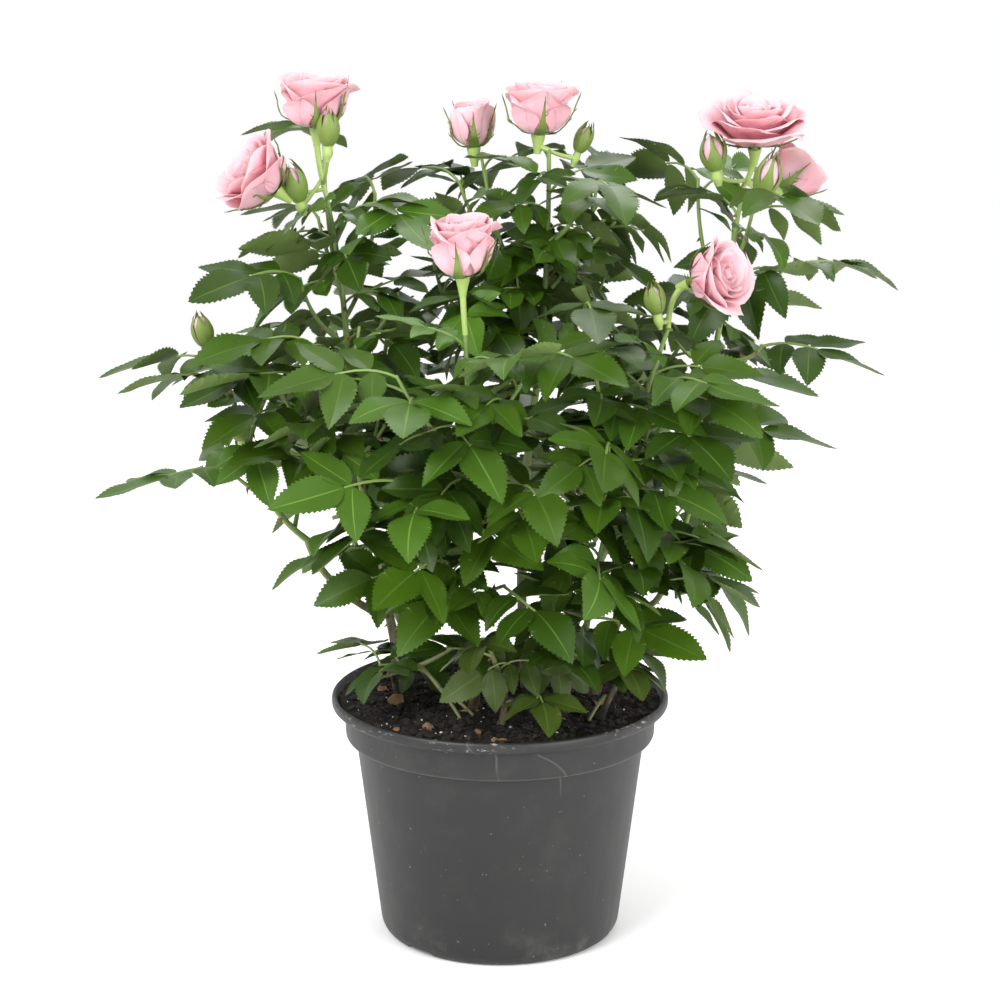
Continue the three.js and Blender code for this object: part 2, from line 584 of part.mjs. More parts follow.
// One leaf: a three-sided stalk that opens into a thin blade with a lobe for each leaflet.
// The blade is thickest at the hub where its lobes meet.
function leafGeometry({ curve, hub, blades, side, normal, scale }) {
  const places = [];
  const index = [];
  const steps = 2;
  for (let i = 0; i <= steps; i++) {
    const centre = curve.getPoint(i / steps);
    const lift = curve.getTangent(i / steps).cross(side).normalize();
    for (const angle of [-Math.PI / 2, Math.PI / 6, Math.PI * 5 / 6]) {
      const point = centre.clone().addScaledVector(side, leaf.stalkRadius * Math.cos(angle));
      places.push(point.addScaledVector(lift, leaf.stalkRadius * Math.sin(angle)));
    }
    if (i === steps) break;
    for (let k = 0; k < 3; k++) {
      const [here, next] = [i * 3 + k, i * 3 + (k + 1) % 3];
      index.push(here, next, here + 3, next, next + 3, here + 3);
    }
  }
  index.push(0, 2, 1);
  const [under, left, right] = [0, 1, 2].map((k) => steps * 3 + k);
  const outline = [right];
  const lobes = [...blades].sort((a, b) => a.turn - b.turn);
  for (const [i, { corners, along }] of lobes.entries()) {
    if (i > 0) {
      const cleft = along.clone().add(lobes[i - 1].along).normalize();
      outline.push(places.push(hub.clone().addScaledVector(cleft, leaf.notch * scale)) - 1);
    }
    for (const corner of corners) outline.push(places.push(corner) - 1);
  }
  outline.push(left);
  const top = places.push(hub.clone().addScaledVector(normal, leaf.thick / 2)) - 1;
  const bottom = places.push(hub.clone().addScaledVector(normal, -leaf.thick / 2)) - 1;
  for (let i = 0; i < outline.length - 1; i++) {
    index.push(top, outline[i], outline[i + 1], bottom, outline[i + 1], outline[i]);
  }
  index.push(top, left, right, bottom, right, under, bottom, under, left);
  const geometry = new THREE.BufferGeometry().setFromPoints(places);
  geometry.setIndex(index);
  return geometry;
}

// Points of a blade that stand for all of it, as shares of its length and width
const bladeSamples = [
  [0, 0], [0.25, 0.4], [0.5, 0.5], [0.75, 0.33], [1, 0], [0.75, -0.33], [0.5, -0.5], [0.25, -0.4], [0.5, 0],
];

// True where every point keeps to its own mass's space, and above and outside the pot
function inOwnSpace(points, own) {
  for (const p of points) {
    let mine = Infinity;
    let other = Infinity;
    for (const { name } of masses) {
      for (const { points: line } of grown[name]) {
        for (const q of line) {
          const d = p.distanceToSquared(q);
          if (name === own && d < mine) mine = d;
          if (name !== own && d < other) other = d;
        }
      }
    }
    if (Math.sqrt(mine) > Math.sqrt(other) - clear.mass) return false;
    const overPot = Math.hypot(p.x, p.y) < clear.rimRadius && p.z < clear.rimTop;
    if (overPot || p.z < clear.lowest) return false;
  }
  return true;
}

// True where a blade would touch a cane, a flower or a flower's stalk
function touchesLimb({ base, along, side, normal, length, width }) {
  return keepOut.some(({ point, room }) => {
    const q = point.clone().sub(base);
    const u = q.dot(along);
    if (u < -room || u > length + room || Math.abs(q.dot(normal)) > room) return false;
    const share = THREE.MathUtils.clamp(u / length, 0, 1);
    const half = width / 2 * Math.sqrt(1 - (2 * share - 1) ** 2);
    return Math.abs(q.dot(side)) < half + room;
  });
}

// True where a blade meets another blade or a twig, or comes within `room` of it
function crosses(blade, other, room) {
  if (blade.middle.distanceTo(other.middle) > (blade.length + other.length) / 2 + room) return false;
  if (passes(other, blade) || lies(other, blade, room)) return true;
  return isBlade(other) && (passes(blade, other) || lies(blade, other, room));
}

const isBlade = (item) => item.along !== undefined;

// True where an edge goes through the blade
function passes({ rim }, { base, along, side, normal, length, width }) {
  const plane = base.dot(normal);
  return rim.some(([p, q]) => {
    const hp = p.dot(normal) - plane;
    const hq = q.dot(normal) - plane;
    if (hp * hq > 0) return false;
    const hit = p.clone().lerp(q, hp / (hp - hq)).sub(base);
    const u = hit.dot(along) / length;
    return u > 0 && u < 1 && Math.abs(hit.dot(side)) < width * Math.sqrt(u - u * u);
  });
}

// True where an edge's point lies closer than `room` to the blade
function lies({ dots }, { base, along, side, normal, length, width }, room) {
  if (room === 0) return false;
  return dots.some((p) => {
    const q = p.clone().sub(base);
    if (Math.abs(q.dot(normal)) > room) return false;
    const u = q.dot(along) / length;
    const spare = room / length;
    if (u < -spare || u > 1 + spare) return false;
    const share = THREE.MathUtils.clamp(u, 0, 1);
    return Math.abs(q.dot(side)) < width * Math.sqrt(share - share * share) + room;
  });
}

function dotsAlong(rim, spacing) {
  return rim.flatMap(([p, q]) => {
    const steps = Math.ceil(p.distanceTo(q) / spacing);
    return Array.from({ length: steps + 1 }, (_, i) => p.clone().lerp(q, i / steps));
  });
}

// A twig as the edges and dots that leaves keep clear of
function twigItem(curve, steps, own) {
  const points = curve.getPoints(steps);
  const rim = points.slice(1).map((p, i) => [points[i], p]);
  const middle = curve.getPoint(0.5);
  return { rim, dots: dotsAlong(rim, 1.5), middle, length: curve.getLength(), own };
}

// True where a leaf's stalk keeps to its own space and clear of limbs, leaves and other masses' twigs
function stalkFree(curve, own) {
  const twig = twigItem(curve, 2, own);
  const points = curve.getPoints(8).slice(1);
  const near = (p) => keepOut.some(({ point, room }) => p.distanceTo(point) < room);
  if (!inOwnSpace(points, own) || points.some(near)) return false;
  return !growth.some((item) => {
    if (isBlade(item)) return crosses(item, twig, roomTo(item, own));
    const reach = (item.length + twig.length) / 2 + clear.twig;
    if (item.own === own || item.middle.distanceTo(twig.middle) > reach) return false;
    return twig.dots.some((p) => item.dots.some((q) => p.distanceTo(q) < clear.twig));
  });
}

// Leaves of one mass may rest close on each other, those of two masses keep apart
const roomTo = (item, own) => (item.own === own ? 0 : clear.blade);

function bladeFree(blade, own) {
  const points = bladeSamples.map(([u, v]) => blade.base.clone()
    .addScaledVector(blade.along, u * blade.length)
    .addScaledVector(blade.side, v * blade.width));
  if (!inOwnSpace(points, own) || touchesLimb(blade)) return false;
  return !growth.some((item) => crosses(blade, item, roomTo(item, own)));
}

// The leaf at one node: other ways round and a smaller size are tried before it is skipped
function growLeaf(node, along, angle, shape, own) {
  for (const size of [1, 0.8]) {
    for (const turn of [0, 0.6, -0.6, 1.2, -1.2]) {
      const grownLeaf = leafParts(node, along, angle + turn, { ...shape, scale: shape.scale * size });
      const blades = grownLeaf.blades.filter((b) => bladeFree(b, own));
      const whole = blades.includes(grownLeaf.blades[0]) && blades.length > 1;
      if (whole && stalkFree(grownLeaf.curve, own)) return { ...grownLeaf, blades };
    }
  }
  return null;
}

// Leaves along a shoot, from its tip downward
function growShoot(mass, shoot, seed) {
  const { curve, truss, bud, bare } = shoot;
  const length = curve.getLength();
  const main = shoot === grown[mass.name][0];
  const draw = makeDraw(seed);
  const firstAngle = draw(0, 2 * Math.PI);
  const leaves = [];
  let s = length - (truss ? leaf.underBloom : 1);
  for (let i = 0; s > (bare ?? (main ? leaf.lowestShare : 0)) * length + leaf.foot; i++) {
    const along = curve.getTangentAt(s / length);
    const node = curve.getPointAt(s / length);
    const atTip = i === 0 && !truss && !bud;
    const size = (truss ? 1 - leaf.upperLoss * s / length : 1) * draw(...leaf.sizes);
    const scale = (atTip ? 1 : size) * (mass.low ? leaf.lowScale : 1);
    const droop = draw(...leaf.droops);
    const shape = { scale, droop: atTip ? leaf.tipDroop : droop, tilt: draw(...leaf.tilts) };
    let angle = firstAngle + i * leaf.turn + draw(-leaf.sway, leaf.sway);
    if (atTip) {
      const e1 = new THREE.Vector3(1, 0, 0).addScaledVector(along, -along.x).normalize();
      const out = (main ? node.clone() : curve.getPoint(1).sub(curve.getPoint(0))).setZ(0);
      angle = Math.atan2(out.dot(along.clone().cross(e1)), out.dot(e1));
    }
    const grownLeaf = growLeaf(node, along, angle, shape, mass.name);
    if (grownLeaf) {
      leaves.push(grownLeaf);
      for (const blade of grownLeaf.blades) growth.push({ ...blade, own: mass.name });
      growth.push(twigItem(grownLeaf.curve, 2, mass.name));
    }
    s -= leaf.spacing * draw(0.85, 1.15);
  }
  return leaves;
}

// A mass: its shoots with their leaves, as one body
function makeMass(mass, index) {
  const parts = [];
  for (const [i, shoot] of grown[mass.name].entries()) {
    const { curve, radius, facing, bud } = shoot;
    parts.push(limbGeometry(curve, radius, 3, 3, facing));
    if (bud) parts.push(turned(flowerForms.bud.profile, 5, curve.getPoint(1), curve.getTangent(1)));
    const seed = 100 * index + 7 * i + 3;
    parts.push(...growShoot(mass, shoot, seed).map(leafGeometry));
  }
  return piece(mass.name, fused(parts), colours.foliage, 0.55);
}

const plant = new THREE.Group();
plant.add(piece('pot', potGeometry(), colours.pot, 0.5));
plant.add(piece('soil', soilGeometry(), colours.soil, 0.95));
for (const cane of canes) {
  plant.add(makeCane(cane));
  keepLimb(limbs[cane.name].curve, cane.radius, clear.limb);
}
for (const mass of masses) {
  grown[mass.name] = shootsOf(mass);
  for (const { curve } of grown[mass.name]) growth.push(twigItem(curve, 12, mass.name));
}
for (const truss of trusses) plant.add(makeTruss(truss));
for (const [i, mass] of masses.entries()) plant.add(makeMass(mass, i));

export default plant;
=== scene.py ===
# A potted patio rose bush in bloom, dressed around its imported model. Lengths are millimetres until a mesh is made.
import math

import bpy
import numpy as np
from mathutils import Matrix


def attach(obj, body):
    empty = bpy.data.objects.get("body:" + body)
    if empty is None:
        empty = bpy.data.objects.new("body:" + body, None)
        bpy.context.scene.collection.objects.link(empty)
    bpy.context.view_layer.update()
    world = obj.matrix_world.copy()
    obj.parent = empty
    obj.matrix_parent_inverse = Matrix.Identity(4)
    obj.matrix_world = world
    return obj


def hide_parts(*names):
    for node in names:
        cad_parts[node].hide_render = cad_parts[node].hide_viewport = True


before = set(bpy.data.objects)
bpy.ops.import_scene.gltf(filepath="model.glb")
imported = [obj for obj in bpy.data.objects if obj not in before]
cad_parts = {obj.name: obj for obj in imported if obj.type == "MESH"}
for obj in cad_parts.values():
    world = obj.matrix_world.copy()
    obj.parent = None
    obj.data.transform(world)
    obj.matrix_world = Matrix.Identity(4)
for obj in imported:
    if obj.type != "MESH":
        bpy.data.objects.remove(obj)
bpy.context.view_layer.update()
mm = 0.001
up, east = np.array([0.0, 0.0, 1.0]), np.array([1.0, 0.0, 0.0])
fullTurn = 2 * math.pi
goldenTurn = fullTurn * (3 - math.sqrt(5)) / 2
print("frame loaded:", len(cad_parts), "nodes")


# v divided by its length
def unit(v):
    v = np.asarray(v, float)
    return v / np.maximum(np.linalg.norm(v, axis=-1, keepdims=True), 1e-12)


# v with its part along `way` taken out, one unit long
def squareTo(v, way):
    return unit(v - way * np.sum(v * way, axis=-1, keepdims=True))


# 0 below `low` and 1 above `high`; between them t^2 (3 - 2t), where t is the share of the way
def smooth(low, high, x):
    t = np.clip((np.asarray(x, float) - low) / (high - low), 0, 1)
    return t * t * (3 - 2 * t)


# The value a share t of the way from a to b
def mix(a, b, t):
    return a + (b - a) * t


# The angles of `count` even steps round a full turn
def turns(count):
    return np.arange(count) * fullTurn / count


# A direction well away from an axis: x, or y where the axis runs along x
def offAxis(axis):
    return east if abs(axis[0]) < 0.9 else np.array([0, 1.0, 0])


# The same numbers in the same order for the same seed: each is the last one times `factor`, modulo `modulus`
def makeDraw(seed):
    modulus, factor, spread = 2147483647, 16807, 7919
    state = seed * spread % modulus

    def draw(low=0.0, high=1.0):
        nonlocal state
        state = state * factor % modulus
        return low + (high - low) * state / modulus

    draw()
    draw()
    return draw


# Soft noise over points: a sum of sine waves in random directions, each octave twice as fine and half as high
def ripple(points, size, octaves, seed, waves=7):
    rng = np.random.default_rng(seed)
    total = np.zeros(points.shape[:-1])
    for octave in range(octaves):
        ways = unit(rng.normal(size=(waves, 3))) * fullTurn / size * 2**octave * rng.uniform(0.7, 1.4, (waves, 1))
        shifts = rng.uniform(0, fullTurn, waves)
        total += np.sin(points @ ways.T + shifts).sum(-1) / waves * 1.4 / 2**octave
    return total


# The distance travelled along a line of points, at each of them
def distanceAlong(line):
    return np.concatenate([[0], np.cumsum(np.linalg.norm(np.diff(line, axis=0), axis=1))])


# A curve of three points a, b, c: (1-t)^2 a + 2t(1-t) b + t^2 c, where b is the middle moved by the bow
class Bow:
    def __init__(self, start, tip, bow=(0, 0, 0)):
        self.a, self.c = np.asarray(start, float), np.asarray(tip, float)
        self.b = (self.a + self.c) / 2 + np.asarray(bow, float)
        self.shares = np.linspace(0, 1, 101)
        self.travelled = distanceAlong(self.at(self.shares))
        self.length = float(self.travelled[-1])

    # The point at share t of the curve's own parameter
    def at(self, t):
        t = np.asarray(t, float)[..., None]
        return (1 - t) ** 2 * self.a + 2 * t * (1 - t) * self.b + t * t * self.c

    # The direction there: (1-t) (b - a) + t (c - b), one unit long
    def way(self, t):
        t = np.asarray(t, float)[..., None]
        return unit((1 - t) * (self.b - self.a) + t * (self.c - self.b))

    # The share t at a distance along the curve
    def share(self, distance):
        return float(np.interp(distance, self.travelled, self.shares))


# Gathers sheets of points into one mesh: points, faces of four and of three, a material number per face, UV places
class Heap:
    def __init__(self):
        self.points, self.faces, self.tints, self.maps, self.marks = [], [], [], [], []
        self.count = 0

    # Adds points, and groups of faces that count from the first of them
    def add(self, points, faces, tints=0, places=None, mark=0.0):
        points = np.asarray(points, float).reshape(-1, 3)
        for group, tint, place in zip(faces, tints if isinstance(tints, (list, tuple)) else [tints] * len(faces),
                                      places if places is not None else [None] * len(faces)):
            if len(group) == 0:
                continue
            self.faces.append(np.asarray(group, int) + self.count)
            self.tints.append(np.broadcast_to(np.asarray(tint, int), (len(group),)))
            self.maps.append(np.zeros((*np.shape(group), 2)) if place is None else np.asarray(place, float))
        self.points.append(points)
        self.marks.append(np.broadcast_to(np.asarray(mark, float), (len(points),)))
        self.count += len(points)

    # Makes the object, smooth but for edges sharper than `crease` degrees
    def build(self, name, materials, crease=70, mapName=None, markName=None):
        mesh = bpy.data.meshes.new(name)
        faces = [face for group in self.faces for face in group.tolist()]
        mesh.from_pydata((np.concatenate(self.points) * mm).tolist(), [], faces)
        mesh.polygons.foreach_set("material_index", np.concatenate(self.tints).astype(np.int32))
        if mapName:
            places = np.concatenate([places.reshape(-1, 2) for places in self.maps])
            mesh.uv_layers.new(name=mapName).uv.foreach_set("vector", places.astype(np.float32).ravel())
        if markName:
            marks = mesh.attributes.new(markName, "FLOAT", "POINT")
            marks.data.foreach_set("value", np.concatenate(self.marks).astype(np.float32))
        for material in materials:
            mesh.materials.append(material)
        mesh.shade_smooth()
        mesh.set_sharp_from_angle(angle=math.radians(crease))
        mesh.update()
        piece = bpy.data.objects.new(name, mesh)
        bpy.context.scene.collection.objects.link(piece)
        triangles = sum(len(f) * (f.shape[1] - 2) for f in self.faces)
        print(f"  {name}: {triangles} triangles")
        return piece


# Faces of a form of rings: each ring is joined to the next, and a point after the last ring's closes each end
def ringFaces(rings, segments):
    i, j = np.meshgrid(np.arange(rings - 1), np.arange(segments), indexing="ij")
    after = (j + 1) % segments
    near, far = i * segments, (i + 1) * segments
    quads = np.stack([near + j, near + after, far + after, far + j], axis=-1)
    ring, after = np.arange(segments), after[0]
    low, high = np.full(segments, rings * segments), np.full(segments, rings * segments + 1)
    top = (rings - 1) * segments
    start, end = np.stack([low, after, ring], axis=1), np.stack([high, top + ring, top + after], axis=1)
    return quads.reshape(-1, 4), np.concatenate([start, end])


# Points and faces of a form of rings with the points that close it
def closeRings(rings, start, end):
    return np.concatenate([rings.reshape(-1, 3), [start, end]]), ringFaces(*rings.shape[:2])


# Points at distance r from +Z, an angle round it and height z
def around(r, angle, z):
    return np.stack(np.broadcast_arrays(r * np.cos(angle), r * np.sin(angle), z), axis=-1)


# Rings about a line of centres, each carried on from the last without twist. A point of a ring is
# centre + radius (across cos a + aside sin a)
def tube(centres, radii, sides):
    centres = np.asarray(centres, float)
    way = unit(np.gradient(centres, axis=0))
    across = np.empty_like(centres)
    last = offAxis(way[0])
    for i in range(len(centres)):
        last = squareTo(last, way[i])
        across[i] = last
    aside = np.cross(way, across)
    angle = turns(sides)
    ring = across[:, None] * np.cos(angle)[None, :, None] + aside[:, None] * np.sin(angle)[None, :, None]
    points = centres[:, None] + ring * np.asarray(radii, float)[:, None, None]
    return closeRings(points, centres[0], centres[-1])


# Where each face of a tube lies on a flat strip of the map, from its ring and its side
def stripPlaces(rings, sides, left, width, low=0.0, high=1.0):
    i, j = np.meshgrid(np.arange(rings - 1), np.arange(sides), indexing="ij")
    x = [left + width * (j + k) / sides for k in (0, 1, 1, 0)]
    y = [low + (high - low) * (i + k) / (rings - 1) for k in (0, 0, 1, 1)]
    quads = np.stack([np.stack(x, -1), np.stack(y, -1)], axis=-1).reshape(-1, 4, 2)
    ends = np.array([[left, low], [left + width / sides, low], [left, low + (high - low) / rings]])
    return quads, np.tile(ends, (2 * sides, 1, 1))


# Canes: the foot's place on the soil, or the parent and the share of it where a side limb forks off, then the tip,
# how far the middle bows, and the radius at foot and tip
canes = [
    dict(name="cane_left", foot=(-47, 40), tip=(-60, 46, 160), bow=(4, -2, 4), radius=(2.5, 1.7)),
    dict(name="arm_left", fork=("cane_left", 0.45), tip=(-86, 12, 176), bow=(-10, -2, -4), radius=(1.9, 1.4)),
    dict(name="cane_left_mid", foot=(-28, 8), tip=(-66, 4, 254), bow=(-14, -4, -18), radius=(2.3, 1.5)),
    dict(name="side_left", fork=("cane_left_mid", 0.42), tip=(-68, -22, 205), bow=(-2, -12, -12), radius=(1.5, 1.2)),
    dict(name="cane_front", foot=(-12, -18), tip=(-13, -38, 148), bow=(5, -6, 0), radius=(2.1, 1.6)),
    dict(name="cane_middle", foot=(12, 12), tip=(16, 14, 244), bow=(-8, 0, 0), radius=(2.4, 1.6)),
    dict(name="cane_right", foot=(42, 5), tip=(90, 2, 240), bow=(-8, 2, -8), radius=(2.6, 1.7)),
    dict(name="side_right", fork=("cane_right", 0.34), tip=(72, -20, 166), bow=(4, -10, -8), radius=(1.6, 1.3)),
    dict(name="cane_right_front", foot=(28, -22), tip=(37, -36, 150), bow=(-6, -4, 0), radius=(2.1, 1.6)),
    dict(name="cane_back_right", foot=(30, 38), tip=(50, 62, 160), bow=(-6, -2, 0), radius=(2.2, 1.6)),
    dict(name="cane_back", foot=(-15, 42), tip=(-18, 64, 160), bow=(4, -4, 0), radius=(2.1, 1.6)),
    dict(name="sprout_left", foot=(-46, 4), tip=(-48, -4, 120), bow=(-1, -2, 4), radius=(1.3, 1)),
    dict(name="sprout_front", foot=(0, -44), tip=(2, -50, 126), bow=(2, 0, 2), radius=(1.4, 1.1)),
    dict(name="sprout_right", foot=(44, -30), tip=(52, -36, 126), bow=(0, -2, 3), radius=(1.4, 1.1)),
]


# A shoot: its tip, how far its middle bows, and the share along the mass's shoot number `off` where it starts.
# The first one of a mass goes on from the cane. Below the share `bare` it has no leaves
def branch(tip, bow, at=0, off=0, **more):
    return dict(tip=tip, bow=bow, at=at, off=off, **more)


masses = [
    dict(name="foliage_left_low", cane="arm_left", shoots=[
        branch((-109, -26, 226), (-5, -8, -4), bud=True, bare=0.8),
        branch((-119, 0, 256), (-6, 6, -6), 0.3, bare=0.75),
        branch((-100, 22, 246), (-4, 4, -4), 0.5, off=1, bare=0.4),
        branch((-118, -20, 216), (0, -4, 0), 0.5, bare=0.8),
        branch((-76, 30, 224), (-4, 2, 2), 0.15, bare=0.3),
        branch((-126, 0, 261), (-2, 0, -3), 0.8, off=1, bud=True, bare=1),
    ]),
    dict(name="foliage_left", cane="side_left", shoots=[
        branch((-76, -32, 270), (-4, -8, 0)),
        branch((-97, -22, 262), (-6, -2, -4), 0.25),
        branch((-48, -46, 240), (4, -6, -4), 0.2),
        branch((-48, -56, 198), (0, -6, 2), 0.05, bare=0.3),
        branch((-60, -12, 276), (4, 4, -2), 0.5),
    ]),
    dict(name="foliage_left_top", cane="cane_left_mid", shoots=[
        branch((-74, 0, 330), (3, 2, 0), truss=True),
        branch((-85, -12, 297), (-6, -2, -6), 0.15, bare=0.85),
        branch((-54, 14, 330), (6, 2, -8), 0.3),
        branch((-76, 16, 352), (-4, 2, -6), 0.4, bare=0.9),
        branch((-44, 6, 288), (6, 2, -4), 0.1),
        branch((-80, 30, 318), (-2, 6, -4), 0.5, bare=0.8),
    ]),
    dict(name="foliage_front", cane="cane_front", shoots=[
        branch((-14, -70, 282), (2, -12, 0), truss=True, bare=0.17),
        branch((-42, -74, 266), (-4, -4, -4), 0.6),
        branch((14, -76, 274), (4, -4, -4), 0.65),
        branch((-40, -72, 222), (-4, -4, -4), 0.42),
        branch((8, -76, 220), (4, -6, -4), 0.38),
        branch((-22, -64, 186), (-4, -4, 0), 0.15, bare=0.7),
        branch((2, -66, 176), (2, -4, 2), 0.12),
        branch((-46, -42, 188), (-4, 0, -2), 0.2),
    ]),
    dict(name="foliage_middle_top", cane="cane_middle", shoots=[
        branch((21, 10, 349), (3, 2, 0), truss=True),
        branch((-8, 26, 344), (-6, 4, -4), 0.2, truss=True),
        branch((42, 18, 332), (6, 2, -8), 0.4),
        branch((-18, 28, 334), (-4, 2, -6), 0.5, off=1, bare=0.6),
        branch((46, 24, 292), (6, 2, -6), 0.15),
        branch((-22, 0, 286), (-6, -2, -4), 0.1),
        branch((38, -4, 334), (2, -6, -4), 0.6, bare=0.8),
        branch((52, 4, 322), (4, 0, -4), 0.5, bare=0.5),
    ]),
    dict(name="foliage_right_front", cane="cane_right_front", shoots=[
        branch((69, -55, 282), (-8, -12, -4), truss=True),
        branch((34, -62, 290), (-2, -6, -4), 0.55),
        branch((44, -84, 240), (-2, -4, -4), 0.42),
        branch((66, -70, 262), (4, -4, -4), 0.55),
        branch((40, -70, 188), (0, -4, 0), 0.15),
        branch((60, -56, 196), (4, -2, -2), 0.18),
        branch((22, -38, 236), (-4, 0, -4), 0.35),
        branch((15, -46, 162), (-2, 0, 2), 0.03),
        branch((38, -52, 158), (2, 0, 2), 0.02),
    ]),
    dict(name="foliage_right_top", cane="cane_right", shoots=[
        branch((104, 3, 334), (0, 2, 0), truss=True, bare=0.4),
        branch((86, 20, 336), (-6, 2, -6), 0.45, bare=0.6),
        branch((123, 10, 298), (6, 2, -6), 0.45, bare=0.4),
        branch((112, -12, 268), (6, 0, -6), 0.2, bare=0.8),
        branch((72, 12, 276), (-4, 2, -4), 0.15, bare=0.4),
        branch((107, -20, 332), (2, -4, -4), 0.6, bare=0.7),
    ]),
    dict(name="foliage_right_low", cane="side_right", shoots=[
        branch((87, -28, 232), (2, -6, -4), bare=0.8),
        branch((66, -50, 186), (2, -4, -2), 0.15),
        branch((66, 0, 206), (4, 2, -2), 0.15),
        branch((76, -28, 160), (2, 0, 2), 0.03),
        branch((70, -40, 178), (2, 0, 0), 0.1),
    ]),
    dict(name="foliage_back_left", cane="cane_left", shoots=[
        branch((-50, 76, 270), (-4, 8, 0)),
        branch((-76, 58, 240), (-6, 2, -6), 0.4),
        branch((-52, 104, 226), (0, 6, -6), 0.4),
        branch((-62, 64, 206), (-4, 2, -2), 0.15),
        branch((-74, 46, 264), (-4, 0, -4), 0.6),
        branch((-46, 88, 180), (0, 4, 0), 0.1),
    ]),
    dict(name="foliage_back", cane="cane_back", shoots=[
        branch((-6, 66, 298), (2, 8, 0)),
        branch((-14, 108, 234), (0, 6, -6), 0.4),
        branch((22, 80, 284), (4, 4, -4), 0.6),
        branch((16, 94, 210), (4, 4, -4), 0.3),
        branch((-30, 58, 294), (-4, 0, -4), 0.6),
        branch((-14, 98, 184), (0, 4, -2), 0.15),
    ]),
    dict(name="foliage_back_right", cane="cane_back_right", shoots=[
        branch((64, 72, 272), (2, 8, 0)),
        branch((88, 54, 242), (6, 2, -6), 0.35),
        branch((54, 108, 226), (0, 6, -6), 0.4),
        branch((68, 76, 194), (4, 4, -2), 0.2),
        branch((92, 44, 276), (4, 0, -4), 0.6),
        branch((36, 92, 190), (-2, 4, -2), 0.15),
    ]),
    dict(name="foliage_low_left", cane="sprout_left", low=True, shoots=[
        branch((-42, -20, 127), (-2, -2, 2)),
    ]),
    dict(name="foliage_low_front", cane="sprout_front", low=True, shoots=[
        branch((-6, -58, 150), (0, -3, 2)),
        branch((18, -58, 146), (2, -2, 2), 0.1),
    ]),
    dict(name="foliage_low_right", cane="sprout_right", low=True, shoots=[
        branch((34, -44, 149), (2, -2, 3)),
        branch((46, -52, 142), (0, -2, 3), 0.1),
    ]),
]


# A flower: its kind, its centre, the way it faces, and how wide and how deep it is
def bloom(kind, at, facing, width, depth):
    return dict(kind=kind, at=at, facing=facing, width=width, depth=depth)


# Trusses: each stands on the tip of one shoot of a mass
trusses = [
    dict(name="truss_left", mass="foliage_left_top", shoot=0, flowers=[
        bloom("cup", (-78, 0, 371), (0, -0.1, 1), 33, 22),
        bloom("open", (-102, -26, 342), (-0.75, -0.3, 0.6), 38, 21),
        bloom("bud", (-72, -13, 360), (0.05, -0.1, 1), 9, 14),
        bloom("bud", (-86, -20, 338), (-0.25, -0.3, 1), 10, 16),
    ]),
    dict(name="truss_middle", mass="foliage_middle_top", shoot=0, flowers=[
        bloom("cup", (17, 10, 367), (0.05, -0.1, 1), 31, 22),
        bloom("bud", (36, 18, 353), (0.4, 0, 1), 7, 12),
    ]),
    dict(name="truss_middle_left", mass="foliage_middle_top", shoot=1, flowers=[
        bloom("half", (-12, 26, 359), (-0.05, -0.1, 1), 20, 20),
    ]),
    dict(name="truss_front", mass="foliage_front", shoot=0, flowers=[
        bloom("cup", (-15, -75, 319), (0, -0.15, 1), 29, 24),
    ]),
    dict(name="truss_right_front", mass="foliage_right_front", shoot=0, flowers=[
        bloom("open", (88, -58, 304), (0.75, -0.5, 0.3), 33, 20),
        bloom("bud", (63, -60, 295), (-0.2, -0.1, 1), 8, 12),
    ]),
    dict(name="truss_right", mass="foliage_right_top", shoot=0, flowers=[
        bloom("open", (108, -6, 362), (0, -0.25, 1), 47, 20),
        bloom("open", (127, 15, 339), (0.6, 0.1, 0.6), 28, 18),
        bloom("bud", (90, -8, 350), (-0.2, -0.1, 1), 11, 16),
        bloom("bud", (112, -20, 341), (0.25, -0.3, 1), 11, 18),
    ]),
]

# Growth: canes, shoots, flower stalks and leaves, with finer leaves than the imported model's
gap = 0.3
soil = dict(level=107, fallX=-0.004, riseY=0, radius=71.3)
leafRule = dict(
    spacing=7.5, turn=2.513,           # along a shoot, and round it from one leaf to the next
    stalk=23, overhang=1.1, rise=(0.75, 0.35, 0.45), lean=0.5, leanFrom=20, dip=0.05, root=3, stem=0.8,
    end=(34, 19), upper=(28, 15.4), lower=(23, 12.6),   # leaflets' length and width
    upperAngle=1.1, lowerAngle=1.25, lowerAt=0.5,
    lowScale=0.75, tipDroop=0.15, lowestShare=0.08, foot=4,
    sizes=(0.72, 1.16), droops=(-0.3, 0.6), tilts=(-0.6, 0.6), swing=0.3, steps=(0.85, 1.15),   # drawn leaf by leaf
    underTruss=0.25, tipRoom=1, trussRoom=5,            # smaller leaves towards a truss, and room kept at the tip
    triedSizes=(1, 0.8), triedTurns=(0, 0.6, -0.6, 1.2, -1.2), least=4, reach=75,
)
stalkRule = dict(sink=3, firstAt=0.04, apart=0.08, elbowAt=0.35, elbowBack=2, main=(1.15, 1.5), side=(0.85, 1.15),
                 budRadius=(0.9, 1.1), budSize=dict(width=9, depth=14), budSink=2, budRise=1, budBase=5, budMiddle=12)
# Room that a leaf keeps to other leaves, twigs, limbs, flowers, its own node and the pot. As `mass` is below nothing, a
# leaf may reach that far past the middle between its mass's shoots and the next mass's
clear = dict(mass=-14, leaf=1.5, twig=0.0, limb=0.8, bloom=1.5, node=7, rimRadius=79, rimTop=112, lowest=98,
             step=3, spots=13)
shootRadius = dict(main=(1.5, 0.9), side=(1.1, 0.7))
limbs, shoots, stalks, leaves = {}, {}, [], []


# Height of the soil: its level at the middle, falling evenly with x and y
def soilTop(x, y):
    return soil["level"] + soil["fallX"] * x + soil["riseY"] * y


